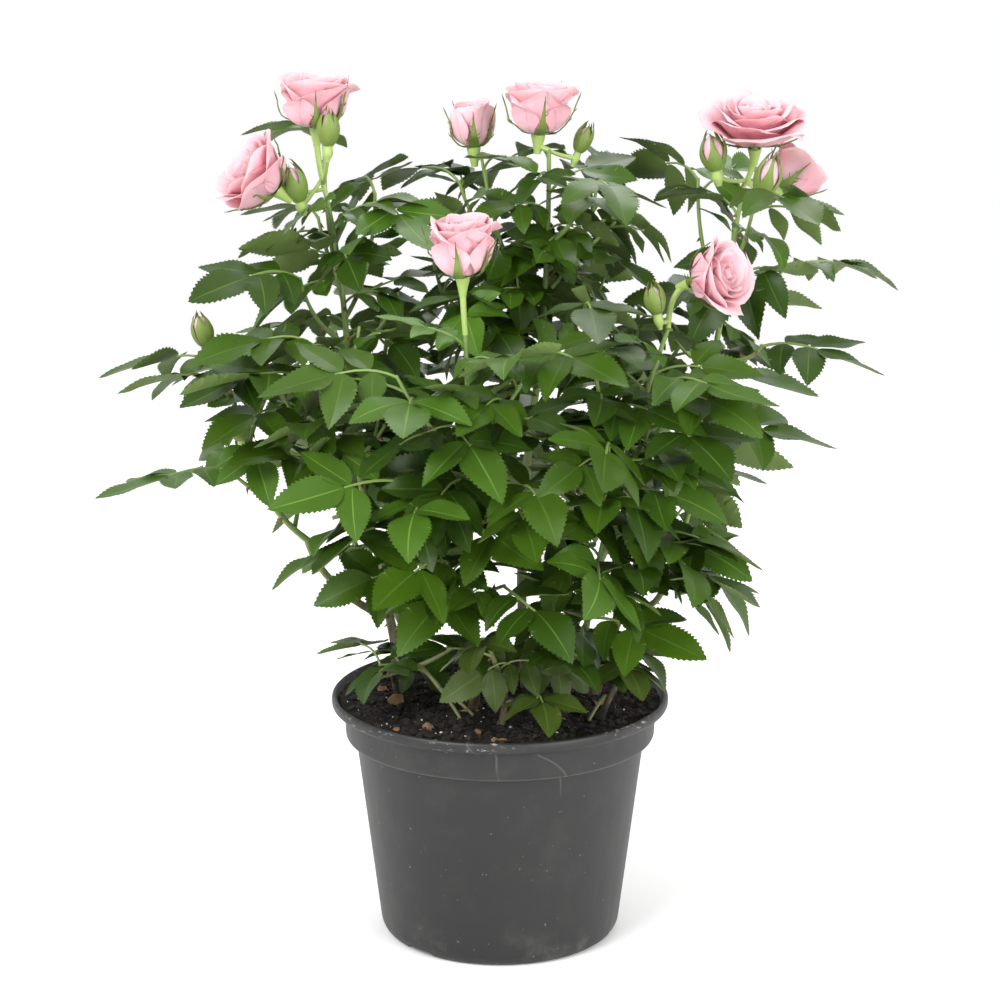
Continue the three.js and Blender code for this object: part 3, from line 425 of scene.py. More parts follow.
# A cane starts just off the soil. A side limb starts outside its parent's bark, on the side that it leaves by
def plantCane(cane):
    tip, bow, radius = (np.array(cane[key], float) for key in ("tip", "bow", "radius"))
    if "foot" in cane:
        x, y = cane["foot"]
        start = np.array([x, y, soilTop(x, y) + gap])
    else:
        parent = limbs[cane["fork"][0]]
        share = cane["fork"][1]
        start = parent["curve"].at(share)
        away = tip - start + bow
        away[2] = 0
        first = unit((tip - start) / 2 + bow)
        reach = mix(*parent["radius"], share) + radius[0] * abs(first @ parent["curve"].way(share)) + gap
        start = start + unit(away) * reach
    limbs[cane["name"]] = dict(curve=Bow(start, tip, bow), radius=radius, fork=cane.get("fork"))


# The first shoot of a mass goes on from its cane's tip; each other one starts on an earlier shoot
def growShoots(mass):
    grown = []
    for i, shoot in enumerate(mass["shoots"]):
        carrier = limbs[mass["cane"]]["curve"]
        main = i == 0
        start = carrier.at(1) + carrier.way(1) * gap if main else grown[shoot["off"]]["curve"].at(shoot["at"])
        grown.append(dict(curve=Bow(start, shoot["tip"], shoot["bow"]), main=main,
                          radius=shootRadius["main" if main else "side"],
                          truss=shoot.get("truss"), bud=shoot.get("bud"), low=mass.get("low"),
                          bareTo=shoot.get("bare", leafRule["lowestShare"] if main else 0)))
    shoots[mass["name"]] = grown


# Thin low sprigs, most of them cut back to bare stubs: start, tip, bow, radius, and whether they are bare of leaves
sprigs = [
    dict(start=(-12.6, -32, 147), tip=(-35, -28, 130), bow=(2, 0, -3), radius=(0.9, 1.1), bare=True),
    dict(start=(-35, -28, 130), tip=(-54, -32, 125), bow=(0, 0, -0.5), radius=(0.8, 0.65), bare=True),
    dict(start=(-35, -28, 130), tip=(-53, -25, 129), bow=(0, 1, 0.5), radius=(0.8, 0.6), bare=False),
    dict(start=(-35, -28, 130), tip=(-26, -36, 122), bow=(0.5, 0, 0.5), radius=(1.1, 1.0), bare=True),
    dict(start=(-26, -36, 122), tip=(-17, -50, 113), bow=(0, 0, 1), radius=(0.8, 0.75), bare=True),
    dict(start=(-26, -36, 122), tip=(-11.5, -49, 114), bow=(1, 0, 1), radius=(0.8, 0.7), bare=True),
    dict(start=(1, -47, 119), tip=(16, -58, 122), bow=(0, 0, 3), radius=(0.8, 0.6), bare=False),
    dict(start=(45.5, -31, 117), tip=(38, -50, 112), bow=(1, 0, 3), radius=(0.8, 0.65), bare=True),
]

for cane in canes:
    plantCane(cane)
for mass in masses:
    growShoots(mass)
for sprig in sprigs:
    name = "foliage_low_left" if sprig["tip"][0] < -20 else "foliage_low_front"
    shoots[name].append(dict(curve=Bow(*(np.array(sprig[key], float) for key in ("start", "tip", "bow"))), main=False,
                             radius=sprig["radius"], truss=None, bud=None, low=True, bareTo=1 if sprig["bare"] else 0))
for truss in trusses:
    carrier = shoots[truss["mass"]][truss["shoot"]]["curve"]
    for i, flower in enumerate(truss["flowers"]):
        axis = unit(flower["facing"])
        base = np.array(flower["at"], float) - axis * flower["depth"] / 2
        sunk = base - axis * stalkRule["sink"]
        if i == 0:
            foot = carrier.at(1)
            elbow = sunk - axis * np.linalg.norm(foot - sunk) / 2
        else:
            foot = stalks[-i]["curve"].at(stalkRule["firstAt"] + stalkRule["apart"] * i)
            high = mix(foot[2], sunk[2], stalkRule["elbowAt"])
            elbow = mix(foot, sunk, 0.5) * (1, 1, 0) + up * high - axis * stalkRule["elbowBack"]
        curve = Bow(foot, sunk)
        curve.b = elbow
        stalks.append(dict(curve=curve, radius=stalkRule["side" if i else "main"], base=base, axis=axis,
                           flower=flower))

for grown in shoots.values():
    for shoot in grown:
        if shoot["bud"]:
            end, way = shoot["curve"].at(1), shoot["curve"].way(1)
            curve = Bow(end - way * stalkRule["budSink"], end + way * stalkRule["budRise"])
            flower = dict(kind="bud", at=end + way * stalkRule["budMiddle"], **stalkRule["budSize"])
            stalks.append(dict(curve=curve, radius=stalkRule["budRadius"], base=end + way * stalkRule["budBase"],
                               axis=way, flower=flower))

# What leaves keep clear of: points on canes, shoots, stalks and flowers, with the room each needs
keepPoints, keepRooms = [], []


# Adds a point about every `step` along a curve; its room is the radius there plus `room`
def keepClear(curve, radius, room):
    share = np.linspace(0, 1, max(2, math.ceil(curve.length / clear["step"])))
    keepPoints.extend(curve.at(share))
    keepRooms.extend(mix(radius[0], radius[1], share) + room)


for limb in limbs.values():
    keepClear(limb["curve"], limb["radius"], clear["limb"])
for stalk in stalks:
    keepClear(stalk["curve"], stalk["radius"], clear["limb"])
    keepPoints.append(np.array(stalk["flower"]["at"], float))
    keepRooms.append(max(stalk["flower"]["width"], stalk["flower"]["depth"]) / 2 + clear["bloom"])
for grown in shoots.values():
    for shoot in grown:
        keepClear(shoot["curve"], shoot["radius"], clear["twig"])
keepPoints, keepRooms = np.array(keepPoints), np.array(keepRooms)

# Points on the shoots of each mass, by which it is told whose space a leaf is in
spots = np.linspace(0, 1, clear["spots"])
spaces = [np.concatenate([shoot["curve"].at(spots) for shoot in grown]) for grown in shoots.values()]
spacePoints = np.concatenate(spaces)
spaceStarts = np.cumsum([0] + [len(points) for points in spaces[:-1]])

# Points of a leaflet that stand for all of it, as shares of its length and width
along, across = np.meshgrid([0.12, 0.32, 0.52, 0.72, 0.95], [-0.36, 0, 0.36])
leafletSamples = np.stack([along.ravel(), (across * np.sin(math.pi * np.minimum(along, 0.93))).ravel()], axis=1)


# Distances between two sets of points: the square root of |p|^2 + |q|^2 - 2 p.q
def distances(p, q):
    squares = (p * p).sum(1)[:, None] + (q * q).sum(1)[None] - 2 * p @ q.T
    return np.sqrt(np.maximum(squares, 0))


# True for each point that keeps to its own mass's space, by its distance to that mass's shoots and to all others, and
# stays above and outside the pot
def inOwnSpace(points, own):
    nearest = np.minimum.reduceat(distances(points, spacePoints), spaceStarts, axis=1)
    mine = nearest[:, own].copy()
    nearest[:, own] = np.inf
    other = nearest.min(1)
    overPot = (np.hypot(points[:, 0], points[:, 1]) < clear["rimRadius"]) & (points[:, 2] < clear["rimTop"])
    return (mine <= other - clear["mass"]) & ~overPot & (points[:, 2] > clear["lowest"])


# A leaf's stalk and its five leaflets, each given by its root, its way, its side and its upper normal. The stalk rises
# off the shoot and bends over towards `fall`; the leaflets leave it at set angles and dip a little
def shapeLeaf(node, way, angle, droop, tilt, scale):
    e1 = squareTo(east, way)
    out = e1 * math.cos(angle) + np.cross(way, e1) * math.sin(angle)
    rise = unit(out * leafRule["rise"][0] + way * leafRule["rise"][1] + up * leafRule["rise"][2])
    flat = unit(rise * (1, 1, 0))
    fall = unit(flat * math.cos(droop) - up * math.sin(droop))
    half = leafRule["stalk"] * scale / 2
    knee = node + rise * half
    stalk = Bow(node, knee + fall * half * leafRule["overhang"])
    stalk.b = knee
    away = node * (1, 1, 0) / max(math.hypot(node[0], node[1]), leafRule["leanFrom"])
    side = unit(np.cross(up + away * leafRule["lean"], fall))
    normal = unit(np.cross(fall, side) + side * math.tan(tilt))
    side = np.cross(normal, fall)
    hub = stalk.at(1)
    below = stalk.at(leafRule["lowerAt"])
    rows = [(hub + fall * leafRule["root"] * scale, 0, leafRule["end"])]
    rows += [(hub, turn * leafRule["upperAngle"], leafRule["upper"]) for turn in (-1, 1)]
    rows += [(below, turn * leafRule["lowerAngle"], leafRule["lower"]) for turn in (-1, 1)]
    leaflets = []
    for root, turn, size in rows:
        d = fall * math.cos(turn) + side * math.sin(turn)
        d = unit(d - normal * math.sin(leafRule["dip"]))
        n = squareTo(normal, d)
        leaflets.append(dict(root=root + d * leafRule["stem"], way=d, side=np.cross(n, d), normal=n,
                             length=size[0] * scale, width=size[1] * scale))
    return dict(stalk=stalk, leaflets=leaflets, scale=scale)


# Points spread over a leaflet: root + share of its length along its way + share of its width to the side
def samplesOf(leaflet):
    spots = leafletSamples[:, :1] * leaflet["length"] * leaflet["way"]
    return leaflet["root"] + spots + leafletSamples[:, 1:] * leaflet["width"] * leaflet["side"]


taken = np.empty((40000, 3))       # sample points of every leaf so far
takenCount = 0


# True for each leaflet that is clear of limbs, flowers and other leaves and keeps to its own space
def leafletsFree(leaf, node, own):
    points = np.concatenate([samplesOf(leaflet) for leaflet in leaf["leaflets"]])
    middle, reach = points.mean(0), leafRule["reach"] * leaf["scale"]
    free = inOwnSpace(points, own)
    near = np.linalg.norm(keepPoints - middle, axis=1) < reach + keepRooms
    near &= np.linalg.norm(keepPoints - node, axis=1) > clear["node"]
    if near.any():
        free &= (distances(points, keepPoints[near]) - keepRooms[near]).min(1) > 0
    others = taken[:takenCount]
    others = others[np.abs(others - middle).max(1) < reach] if takenCount else others
    if len(others):
        free &= distances(points, others).min(1) > clear["leaf"]
    return free.reshape(len(leaf["leaflets"]), -1).all(1)


# The leaf at one node: other ways round and a smaller size are tried before it is skipped
def growLeaf(node, way, angle, shape, own):
    for size in leafRule["triedSizes"]:
        for turn in leafRule["triedTurns"]:
            leaf = shapeLeaf(node, way, angle + turn, shape["droop"], shape["tilt"], shape["scale"] * size)
            free = leafletsFree(leaf, node, own)
            if free[0] and free.sum() >= leafRule["least"]:
                leaf["leaflets"] = [leaflet for leaflet, ok in zip(leaf["leaflets"], free) if ok]
                return leaf
    return None


# Adds a leaf and its sample points to what later leaves keep clear of
def keepLeaf(leaf, name, height, low):
    global takenCount
    points = np.concatenate([samplesOf(leaflet) for leaflet in leaf["leaflets"]])
    taken[takenCount:takenCount + len(points)] = points
    takenCount += len(points)
    leaf.update(mass=name, high=height, low=low)
    leaves.append(leaf)


# Leaves along a shoot, from its tip downward: one every `spacing` or so, each turned on by `turn` from the last
def dressShoot(name, own, shoot, seed):
    curve, truss, main = shoot["curve"], shoot["truss"], shoot["main"]
    draw = makeDraw(seed)
    firstAngle = draw(0, fullTurn)
    s = curve.length - leafRule["trussRoom" if truss else "tipRoom"]
    i = 0
    while s > shoot["bareTo"] * curve.length + leafRule["foot"]:
        share = curve.share(s)
        way, node = curve.way(share), curve.at(share)
        atTip = i == 0 and not truss and not shoot["bud"]
        size = (1 - leafRule["underTruss"] * s / curve.length if truss else 1) * draw(*leafRule["sizes"])
        scale = (1 if atTip else size) * (leafRule["lowScale"] if shoot["low"] else 1)
        droop = draw(*leafRule["droops"])
        shape = dict(scale=scale, droop=leafRule["tipDroop"] if atTip else droop, tilt=draw(*leafRule["tilts"]))
        angle = firstAngle + i * leafRule["turn"] + draw(-leafRule["swing"], leafRule["swing"])
        if atTip:
            e1 = squareTo(east, way)
            out = (node if main else curve.at(1) - curve.at(0)) * (1, 1, 0)
            angle = math.atan2(out @ np.cross(way, e1), out @ e1)
        leaf = growLeaf(node, way, angle, shape, own)
        if leaf:
            keepLeaf(leaf, name, s / curve.length, shoot["low"])
        s -= leafRule["spacing"] * draw(*leafRule["steps"])
        i += 1


for own, (name, grown) in enumerate(shoots.items()):
    for i, shoot in enumerate(grown):
        dressShoot(name, own, shoot, 100 * own + 7 * i + 3)
print("grown:", len(leaves), "leaves,", sum(len(leaf["leaflets"]) for leaf in leaves), "leaflets")


# Shaders: a socket whose sums, differences, products, quotients and powers add Math nodes
class Wire:
    def __init__(self, shader, socket):
        self.shader, self.socket = shader, socket

    def math(self, operation, other, swap=False):
        pair = (other, self) if swap else (self, other)
        return self.shader.node("ShaderNodeMath", {"operation": operation}, *pair)

    def __add__(self, other):
        return self.math("ADD", other)

    def __sub__(self, other):
        return self.math("SUBTRACT", other)

    def __rsub__(self, other):
        return self.math("SUBTRACT", other, swap=True)

    def __mul__(self, other):
        return self.math("MULTIPLY", other)

    def __truediv__(self, other):
        return self.math("DIVIDE", other)

    def __pow__(self, other):
        return self.math("POWER", other)

    __radd__, __rmul__ = __add__, __mul__


# A material whose nodes are added by name; `feed` gives a socket a number, a colour or a wire
class Shader:
    def __init__(self, name, **constants):
        self.material = bpy.data.materials.new(name)
        self.material.use_nodes = True
        self.tree = self.material.node_tree
        self.surface = next(n for n in self.tree.nodes if n.type == "BSDF_PRINCIPLED")
        for socket, value in constants.items():
            self.set(socket, value)

    # Sets a socket of the surface, given by its name without spaces
    def set(self, name, value):
        socket = next(s for s in self.surface.inputs if s.name.replace(" ", "").lower() == name.lower())
        self.feed(socket, value)

    def feed(self, socket, value):
        if isinstance(value, Wire):
            self.tree.links.new(value.socket, socket)
        elif socket.type == "RGBA" and len(value) == 3:
            socket.default_value = (*value, 1)
        else:
            socket.default_value = value

    # Adds a node: its settings first, then the values of its sockets by their order or their names
    def node(self, kind, settings, *values, output=0, **named):
        node = self.tree.nodes.new(kind)
        for name, value in settings.items():
            setattr(node, name, value)
        for i, value in enumerate(values):
            self.feed(node.inputs[i], value)
        for name, value in named.items():
            self.feed(next(s for s in node.inputs if s.name.lower() == name.lower() and s.enabled), value)
        return Wire(self, node.outputs[output])

    # The place on the piece, in metres
    def place(self):
        return self.node("ShaderNodeTexCoord", {}, output=3)

    # Noise of `scale` lumps to the metre, stretched along an axis where its share of the scale is small
    def noise(self, scale, detail=3.0, roughness=0.5, stretch=None, seed=0.0):
        where = self.place()
        if stretch or seed:
            where = self.node("ShaderNodeMapping", {}, vector=where, location=(seed, seed * 0.7, seed * 1.3),
                              scale=stretch or (1, 1, 1))
        return self.node("ShaderNodeTexNoise", {}, vector=where, scale=scale, detail=detail, roughness=roughness)

    # 0 below `low`, 1 above `high` and smooth between
    def ramp(self, value, low, high):
        return self.node("ShaderNodeMapRange", {"interpolation_type": "SMOOTHSTEP"}, value, low, high, 0.0, 1.0)

    # The colour a share of the way from a to b
    def blend(self, share, a, b):
        node = self.tree.nodes.new("ShaderNodeMix")
        node.data_type = "RGBA"
        sockets = [s for s in node.inputs if s.enabled]
        for socket, value in zip(sockets, (share, a, b)):
            self.feed(socket, value)
        return Wire(self, next(s for s in node.outputs if s.enabled))

    def bump(self, height, strength, distance):
        self.set("Normal", self.node("ShaderNodeBump", {}, strength=strength, distance=distance, height=height))

    # Height on the piece, in metres
    def height(self):
        return self.node("ShaderNodeSeparateXYZ", {}, self.place(), output=2)


# A look of one colour and one roughness, with how strongly it mirrors at a glance
def plain(name, colour, roughness, mirror=0.5):
    return Shader(name, BaseColor=colour, Roughness=roughness, SpecularIORLevel=mirror).material


# Pot plastic: dark satin grey with soft blotches, pale dust that gathers at rim and foot, fine scuffs, and a painted
# highlight: a pale line round the ledge under the collar
def potPlastic():
    look = Shader("potPlastic", SpecularIORLevel=0.45)
    blotch = look.noise(22, 4, 0.6)
    scuff = look.noise(160, 3, 0.6, stretch=(1, 1, 0.25))
    grain = look.noise(1500, 2)
    z = look.height()
    nearRim = look.ramp(z, 0.088, 0.109)
    nearFoot = 1 - look.ramp(z, 0.0, 0.02)
    lip = look.ramp(z, 0.101, 0.108)
    # Painted highlight: a thin pale band at the ledge under the collar, where light catches the edge
    ledgeHighlight = look.ramp(z, 0.0896, 0.0906) * (1 - look.ramp(z, 0.0911, 0.092))
    specks = look.ramp(look.noise(420, 2, 0.6, seed=3.1), 0.725, 0.77)
    hair = 1 - look.ramp((look.noise(14, 1, seed=6.1) - 0.5) ** 2, 0.000001, 0.000008)
    hair = hair * look.ramp(look.noise(30, 2, seed=9.4), 0.53, 0.6)
    film = look.ramp(look.noise(55, 4, 0.65, seed=1.7), 0.45, 0.8)
    scratch = look.ramp(look.noise(230, 4, 0.75, stretch=(1, 1, 3), seed=5.3), 0.58, 0.65)
    patch = look.ramp(look.noise(28, 2, 0.5, seed=8.8), 0.43, 0.58)
    # Dust film, specks and hairs, with the ledge's painted highlight added in among them
    dustAndLedgeHighlight = film * (nearRim * 0.04 + nearFoot * 0.3 + 0.05) + specks * 0.7 + ledgeHighlight * 0.22 + hair * 0.22
    dustAndLedgeHighlight = dustAndLedgeHighlight + scratch * patch * lip * 1.3
    body = look.blend(blotch, (0.0085, 0.0085, 0.0085), (0.013, 0.013, 0.013))
    look.set("BaseColor", look.blend(dustAndLedgeHighlight * 0.45, body, (0.42, 0.40, 0.37)))
    look.set("Roughness", 0.36 + blotch * 0.1 + scuff * 0.12 + dustAndLedgeHighlight * 0.3)
    look.bump(grain * 0.4 + scuff, 0.12, 0.0006)
    return look.material


# Peat: near black to brown, with a fine crumb
def peat():
    look = Shader("peat", SpecularIORLevel=0.25)
    tone = look.noise(90, 5, 0.7)
    fine = look.noise(620, 4, 0.7)
    brown = look.blend(look.ramp(tone + fine * 0.4, 0.5, 0.95), (0.005, 0.004, 0.003), (0.02, 0.013, 0.008))
    look.set("BaseColor", brown)
    look.set("Roughness", 0.75 + fine * 0.2)
    look.bump(fine + tone, 0.8, 0.002)
    return look.material


# Cane bark: grey brown with pale streaks low down, turning to yellow green with height
def caneBark():
    look = Shader("caneBark", SpecularIORLevel=0.35)
    streak = look.noise(260, 4, 0.65, stretch=(1, 1, 0.16))
    patch = look.noise(60, 3, 0.6, seed=2.3)
    z = look.height()
    green = look.ramp(z + patch * 0.05, 0.135, 0.225)
    bark = look.blend(look.ramp(streak, 0.35, 0.7), (0.034, 0.023, 0.015), (0.13, 0.1, 0.066))
    skin = look.blend(streak, (0.13, 0.19, 0.05), (0.24, 0.3, 0.1))
    look.set("BaseColor", look.blend(green, bark, skin))
    look.set("Roughness", 0.72 - green * 0.25)
    look.bump(streak * (1 - green * 0.8), 0.5, 0.0012)
    return look.material


# Petals: cream at the root, pink in the blade with soft lighter and darker patches, and paler at the rolled rim
def petalSkin():
    look = Shader("petalSkin", Roughness=0.55, SpecularIORLevel=0.25, SubsurfaceWeight=0.3,
                  SubsurfaceRadius=(1.0, 0.35, 0.3), SubsurfaceScale=0.004)
    v = look.node("ShaderNodeAttribute", {"attribute_name": "petalShare"}, output=2)
    tone = look.noise(60, 2, 0.5)
    root = 1 - look.ramp(v, 0.02, 0.3)
    rim = look.ramp(v, 0.55, 1.0)
    pink = look.blend(look.ramp(tone, 0.3, 0.7), (0.78, 0.35, 0.41), (0.83, 0.47, 0.52))
    pink = look.blend(rim * 0.5, pink, (0.86, 0.6, 0.63))
    look.set("BaseColor", look.blend(root * 0.5, pink, (0.93, 0.79, 0.72)))
    return look.material


looks = dict(pot=potPlastic(), peat=peat(), bark=caneBark(), petal=petalSkin())
plainLooks = dict(
    crumbDark=((0.007, 0.005, 0.004), 0.9),
    crumbBrown=((0.022, 0.014, 0.009), 0.9),
    crumbTan=((0.2, 0.115, 0.055), 0.85),
    perlite=((0.72, 0.7, 0.65), 0.8),
    leafDeep=((0.021, 0.052, 0.002), 0.42, 0.32),
    leafMid=((0.035, 0.08, 0.003), 0.42, 0.32),
    leafLight=((0.044, 0.104, 0.007), 0.44, 0.32),
    leafFresh=((0.06, 0.138, 0.011), 0.45, 0.3),
    leafOld=((0.035, 0.059, 0.006), 0.5, 0.3),
    leafUnder=((0.12, 0.18, 0.05), 0.6, 0.2),
    ribDeep=((0.055, 0.115, 0.014), 0.5, 0.25),
    ribPale=((0.105, 0.2, 0.028), 0.5, 0.25),
    stalkGreen=((0.17, 0.26, 0.06), 0.5),
    stalkOlive=((0.12, 0.14, 0.05), 0.55),
    stalkPale=((0.32, 0.44, 0.12), 0.45),
    sepalGreen=((0.14, 0.21, 0.035), 0.5),
    sepalTip=((0.11, 0.11, 0.03), 0.6),
    prickle=((0.16, 0.07, 0.04), 0.5),
)
looks.update({name: plain(name, *values) for name, values in plainLooks.items()})
print("looks made:", len(looks))


# Leaves: each leaflet is a toothed blade with a midrib, folded up at its sides and drooping to its tip
leafletForm = dict(stations=8, edgeSteps=4, rib=0.04, middle=0.5, tooth=0.12, push=0.7, pleat=0.2, thick=0.7,
                   base=0.68, tip=1.1, drawnAt=35,                      # the length that pleat and thickness are for
                   fold=(0.02, 0.34), droop=(-0.04, 0.34), twist=0.4, sway=0.06, wave=0.6, waves=9)
leafTints = dict(darkUnder=(190, 300), darker=0.22, topFrom=0.8, freshTop=0.16, fresh=0.05, light=0.27, mid=0.7,
                 oldLow=0.75)
leafColours = ["leafDeep", "leafMid", "leafLight", "leafFresh", "leafUnder", "ribDeep", "ribPale", "leafOld"]
blade, rib, under = -1, -2, 4      # tints of the template's faces: the leaf's own, its midrib's, the lower face's


# A flat leaflet one unit long and wide: half width at share u = u^base (1-u)^tip over its peak. Stations across it hold
# two midrib points, two middle points and one point underneath. Between two stations the border has `edgeSteps` steps,
# every second one a tooth pushed towards the tip
def leafletTemplate(form):
    stations, steps = form["stations"], form["edgeSteps"]
    swellOf = lambda u: u ** form["base"] * (1 - u) ** form["tip"]
    peak = swellOf(np.linspace(0.01, 0.99, 99)).max()
    k = np.arange(1, stations)
    u = k / stations
    columns = np.array([-form["middle"], -form["rib"], form["rib"], form["middle"], 0])
    inner = columns[None] * (swellOf(u) / peak)[:, None]
    pleat = (np.abs(columns) == form["middle"])[None] * np.where(k % 2, 1, -1)[:, None] * form["pleat"]
    lift = pleat * (swellOf(u) / peak)[:, None] - np.where(columns == 0, form["thick"], 0)[None]
    j = np.arange(1, stations * steps)
    e = j / (stations * steps)
    toothed = j % 2 == 0
    edge = swellOf(e) / peak * np.where(toothed, 1, 1 - form["tooth"])
    forward = np.minimum(e + toothed * form["push"] / (stations * steps), 0.995)
    along = np.concatenate([[0, 1], np.repeat(u, 5), forward, forward])
    across = np.concatenate([[0, 0], inner.ravel(), -edge, edge])
    lift = np.concatenate([[0, 0], lift.ravel(), 0 * edge, 0 * edge])
    at = lambda station, column: 0 if station == 0 else 1 if station == stations else 2 + (station - 1) * 5 + column
    first = 2 + 5 * (stations - 1)

    # Border points of one side from a station to the next
    def rim(side, station):
        ids = range(station * steps, (station + 1) * steps + 1)
        return [0 if i == 0 else 1 if i == stations * steps else first + side * len(j) + i - 1 for i in ids]

    faces, tints = [], []

    # Keeps a face of the points that differ from the one before, where at least three are left
    def face(points, tint):
        points = [p for i, p in enumerate(points) if p != points[i - 1]]
        if len(points) > 2:
            faces.append(points)
            tints.append(tint)

    # Triangles from each border step to an inner point, so that top and underside meet only along the border
    def fan(border, last, first, tint):
        whole = len(border) - 1
        half = 0 if first == border[0] else whole if last == border[-1] else whole // 2
        for k in range(whole):
            face([border[k], border[k + 1], first if k < half else last], tint)
        face([border[half], last, first], tint)

    for s in range(stations):
        left, right = rim(0, s), rim(1, s)
        for c in (0, 1, 2):
            face([at(s, c), at(s + 1, c), at(s + 1, c + 1), at(s, c + 1)], rib if c == 1 else blade)
        fan(left, at(s + 1, 0), at(s, 0), blade)
        fan(right[::-1], at(s, 3), at(s + 1, 3), blade)
        fan(left[::-1], at(s, 4), at(s + 1, 4), under)
        fan(right, at(s + 1, 4), at(s, 4), under)
    groups = {}
    for points, tint in zip(faces, tints):
        groups.setdefault(len(points), []).append((points, tint))
    return along, across, lift, [(np.array([f for f, t in g]), np.array([t for f, t in g])) for g in groups.values()]


# All leaflets at once. For shares u along and v across a leaflet of length L and width W, the point is
# root + way u L (1 - droop u / 2) + side (v W/2 cos w + sway L u^2) + normal (v W/2 sin w + rise), with w = twist u and
# rise = fold |v| W/2 - droop L u^2 + pleats + wave v sin(waves u + start)
def addLeaflets(heap, leaflets, tints, rng, form):
    along, across, lift, groups = leafletTemplate(form)
    pick = lambda key: np.array([leaflet[key] for leaflet in leaflets], float)
    root, way, side, normal = (pick(key)[:, None] for key in ("root", "way", "side", "normal"))
    length, width = pick("length")[:, None], pick("width")[:, None]
    n = len(leaflets)
    fold = rng.uniform(*form["fold"], (n, 1))
    droop = rng.uniform(*form["droop"], (n, 1))
    twist = rng.normal(0, form["twist"], (n, 1))
    sway = rng.normal(0, form["sway"], (n, 1))
    waveStart = rng.uniform(0, fullTurn, (n, 1))
    out = across[None] * width / 2
    u = along[None]
    rise = fold * np.abs(out) - droop * length * u**2 + lift[None] * length / form["drawnAt"]
    rise = rise + form["wave"] * np.sin(form["waves"] * u + waveStart) * across[None]
    points = root + way * (u * length * (1 - 0.5 * droop * u))[..., None]
    points = points + side * (out * np.cos(twist * u) + sway * length * u**2)[..., None]
    points = points + normal * (rise + out * np.sin(twist * u))[..., None]
    offset = (np.arange(n) * len(along))[:, None, None]
    tint = np.asarray(tints)[:, None]
    ribTint = np.where((tint == 2) | (tint == 3), 6, 5)        # pale on light and fresh leaves
    allFaces, allTints = [], []
    for faces, given in groups:
        allFaces.append((faces[None] + offset).reshape(-1, faces.shape[1]))
        allTints.append(np.select([given[None] == blade, given[None] == rib], [tint, ribTint], given[None]).ravel())
    heap.add(points, allFaces, allTints)


leafGroups = dict(
    leavesLeft=["foliage_left_low", "foliage_left", "foliage_left_top", "foliage_back_left", "foliage_low_left"],
    leavesMiddle=["foliage_front", "foliage_middle_top", "foliage_back", "foliage_low_front"],
    leavesRight=["foliage_right_front", "foliage_right_top", "foliage_right_low", "foliage_back_right",
                 "foliage_low_right"],
)


# Tints are dealt leaf by leaf: deep, middle, light or fresh green, fresher near a shoot's tip, and darker lower down
def makeLeaves():
    rng = np.random.default_rng(11)
    deal = leafTints
    for name, names in leafGroups.items():
        heap = Heap()
        own = [leaf for leaf in leaves if leaf["mass"] in names]
        leaflets, tints = [], []
        for leaf in own:
            share = rng.uniform() + deal["darker"] * (1 - smooth(*deal["darkUnder"], leaf["leaflets"][0]["root"][2]))
            fresh = deal["freshTop"] if leaf["high"] > deal["topFrom"] else deal["fresh"]
            if leaf["low"]:
                tint = 7 if share < deal["oldLow"] else 0
            else:
                tint = 3 - sum(share >= fresh + more for more in (0, deal["light"], deal["mid"]))
            leaflets += leaf["leaflets"]
            tints += [tint] * len(leaf["leaflets"])
        addLeaflets(heap, leaflets, tints, rng, leafletForm)
        piece = heap.build(name, [looks[colour] for colour in leafColours])
        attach(piece, "root")
        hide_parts(*names)


# Prickles: small cones that stand square out of a limb, with their tips leaning down it
prickleForm = dict(spacing=15, spread=(0.5, 1.5), first=0.04, last=0.94, length=(2, 3.4), lean=0.35, sides=5,
                   radii=(0.88, 0.64, 0.28, 0.048))


def addPrickles(heap, curve, radii, rng):
    share = prickleForm["first"]
    while True:
        share += rng.uniform(*prickleForm["spread"]) * prickleForm["spacing"] / curve.length
        if share > prickleForm["last"]:
            return
        way = unit(curve.way(share))
        out = squareTo(unit(rng.normal(size=3)), way)
        skin, reach = mix(*radii, share), rng.uniform(*prickleForm["length"])
        foot = curve.at(share)
        tip = foot + out * (skin + reach) - way * reach * prickleForm["lean"]
        low, middle = foot + out * (skin + reach * 0.2), mix(foot + out * skin, tip, 0.6)
        points, faces = tube([foot + out * skin * 0.5, low, middle, tip], prickleForm["radii"], prickleForm["sides"])
        heap.add(points, faces, 2)


# Shoots and leaf stalks. Radius of a shoot = taper (1 + swell sin(distance / swellLength))
twigForm = dict(sides=8, rings=22, swell=0.05, swellLength=1.7, sink=(0.6, 1.5), greenFrom=190,
                stalkSides=5, stalkRings=6, stalkRadius=(0.75, 0.45))


def makeTwigs():
    heap = Heap()
    rng = np.random.default_rng(23)
    for limb in limbs.values():
        addPrickles(heap, limb["curve"], limb["radius"], rng)
    for grown in shoots.values():
        for shoot in grown:
            curve = shoot["curve"]
            share = np.linspace(0, 1, twigForm["rings"])
            centres = curve.at(share)
            centres[0] -= curve.way(0) * twigForm["sink"][shoot["main"]]
            swell = 1 + twigForm["swell"] * np.sin(share * curve.length / twigForm["swellLength"])
            points, faces = tube(centres, mix(*shoot["radius"], share) * swell, twigForm["sides"])
            heap.add(points, faces, 0 if centres[:, 2].mean() > twigForm["greenFrom"] else 1)
            addPrickles(heap, curve, shoot["radius"], rng)
    for leaf in leaves:
        line = leaf["stalk"].at(np.linspace(0, 1, twigForm["stalkRings"]))
        centres = np.concatenate([line, leaf["leaflets"][0]["root"][None]])
        radii = np.linspace(*twigForm["stalkRadius"], len(centres)) * leaf["scale"] ** 0.5
        points, faces = tube(centres, radii, twigForm["stalkSides"])
        heap.add(points, faces, 0)
    piece = heap.build("twigs", [looks["stalkGreen"], looks["stalkOlive"], looks["prickle"]])
    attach(piece, "root")


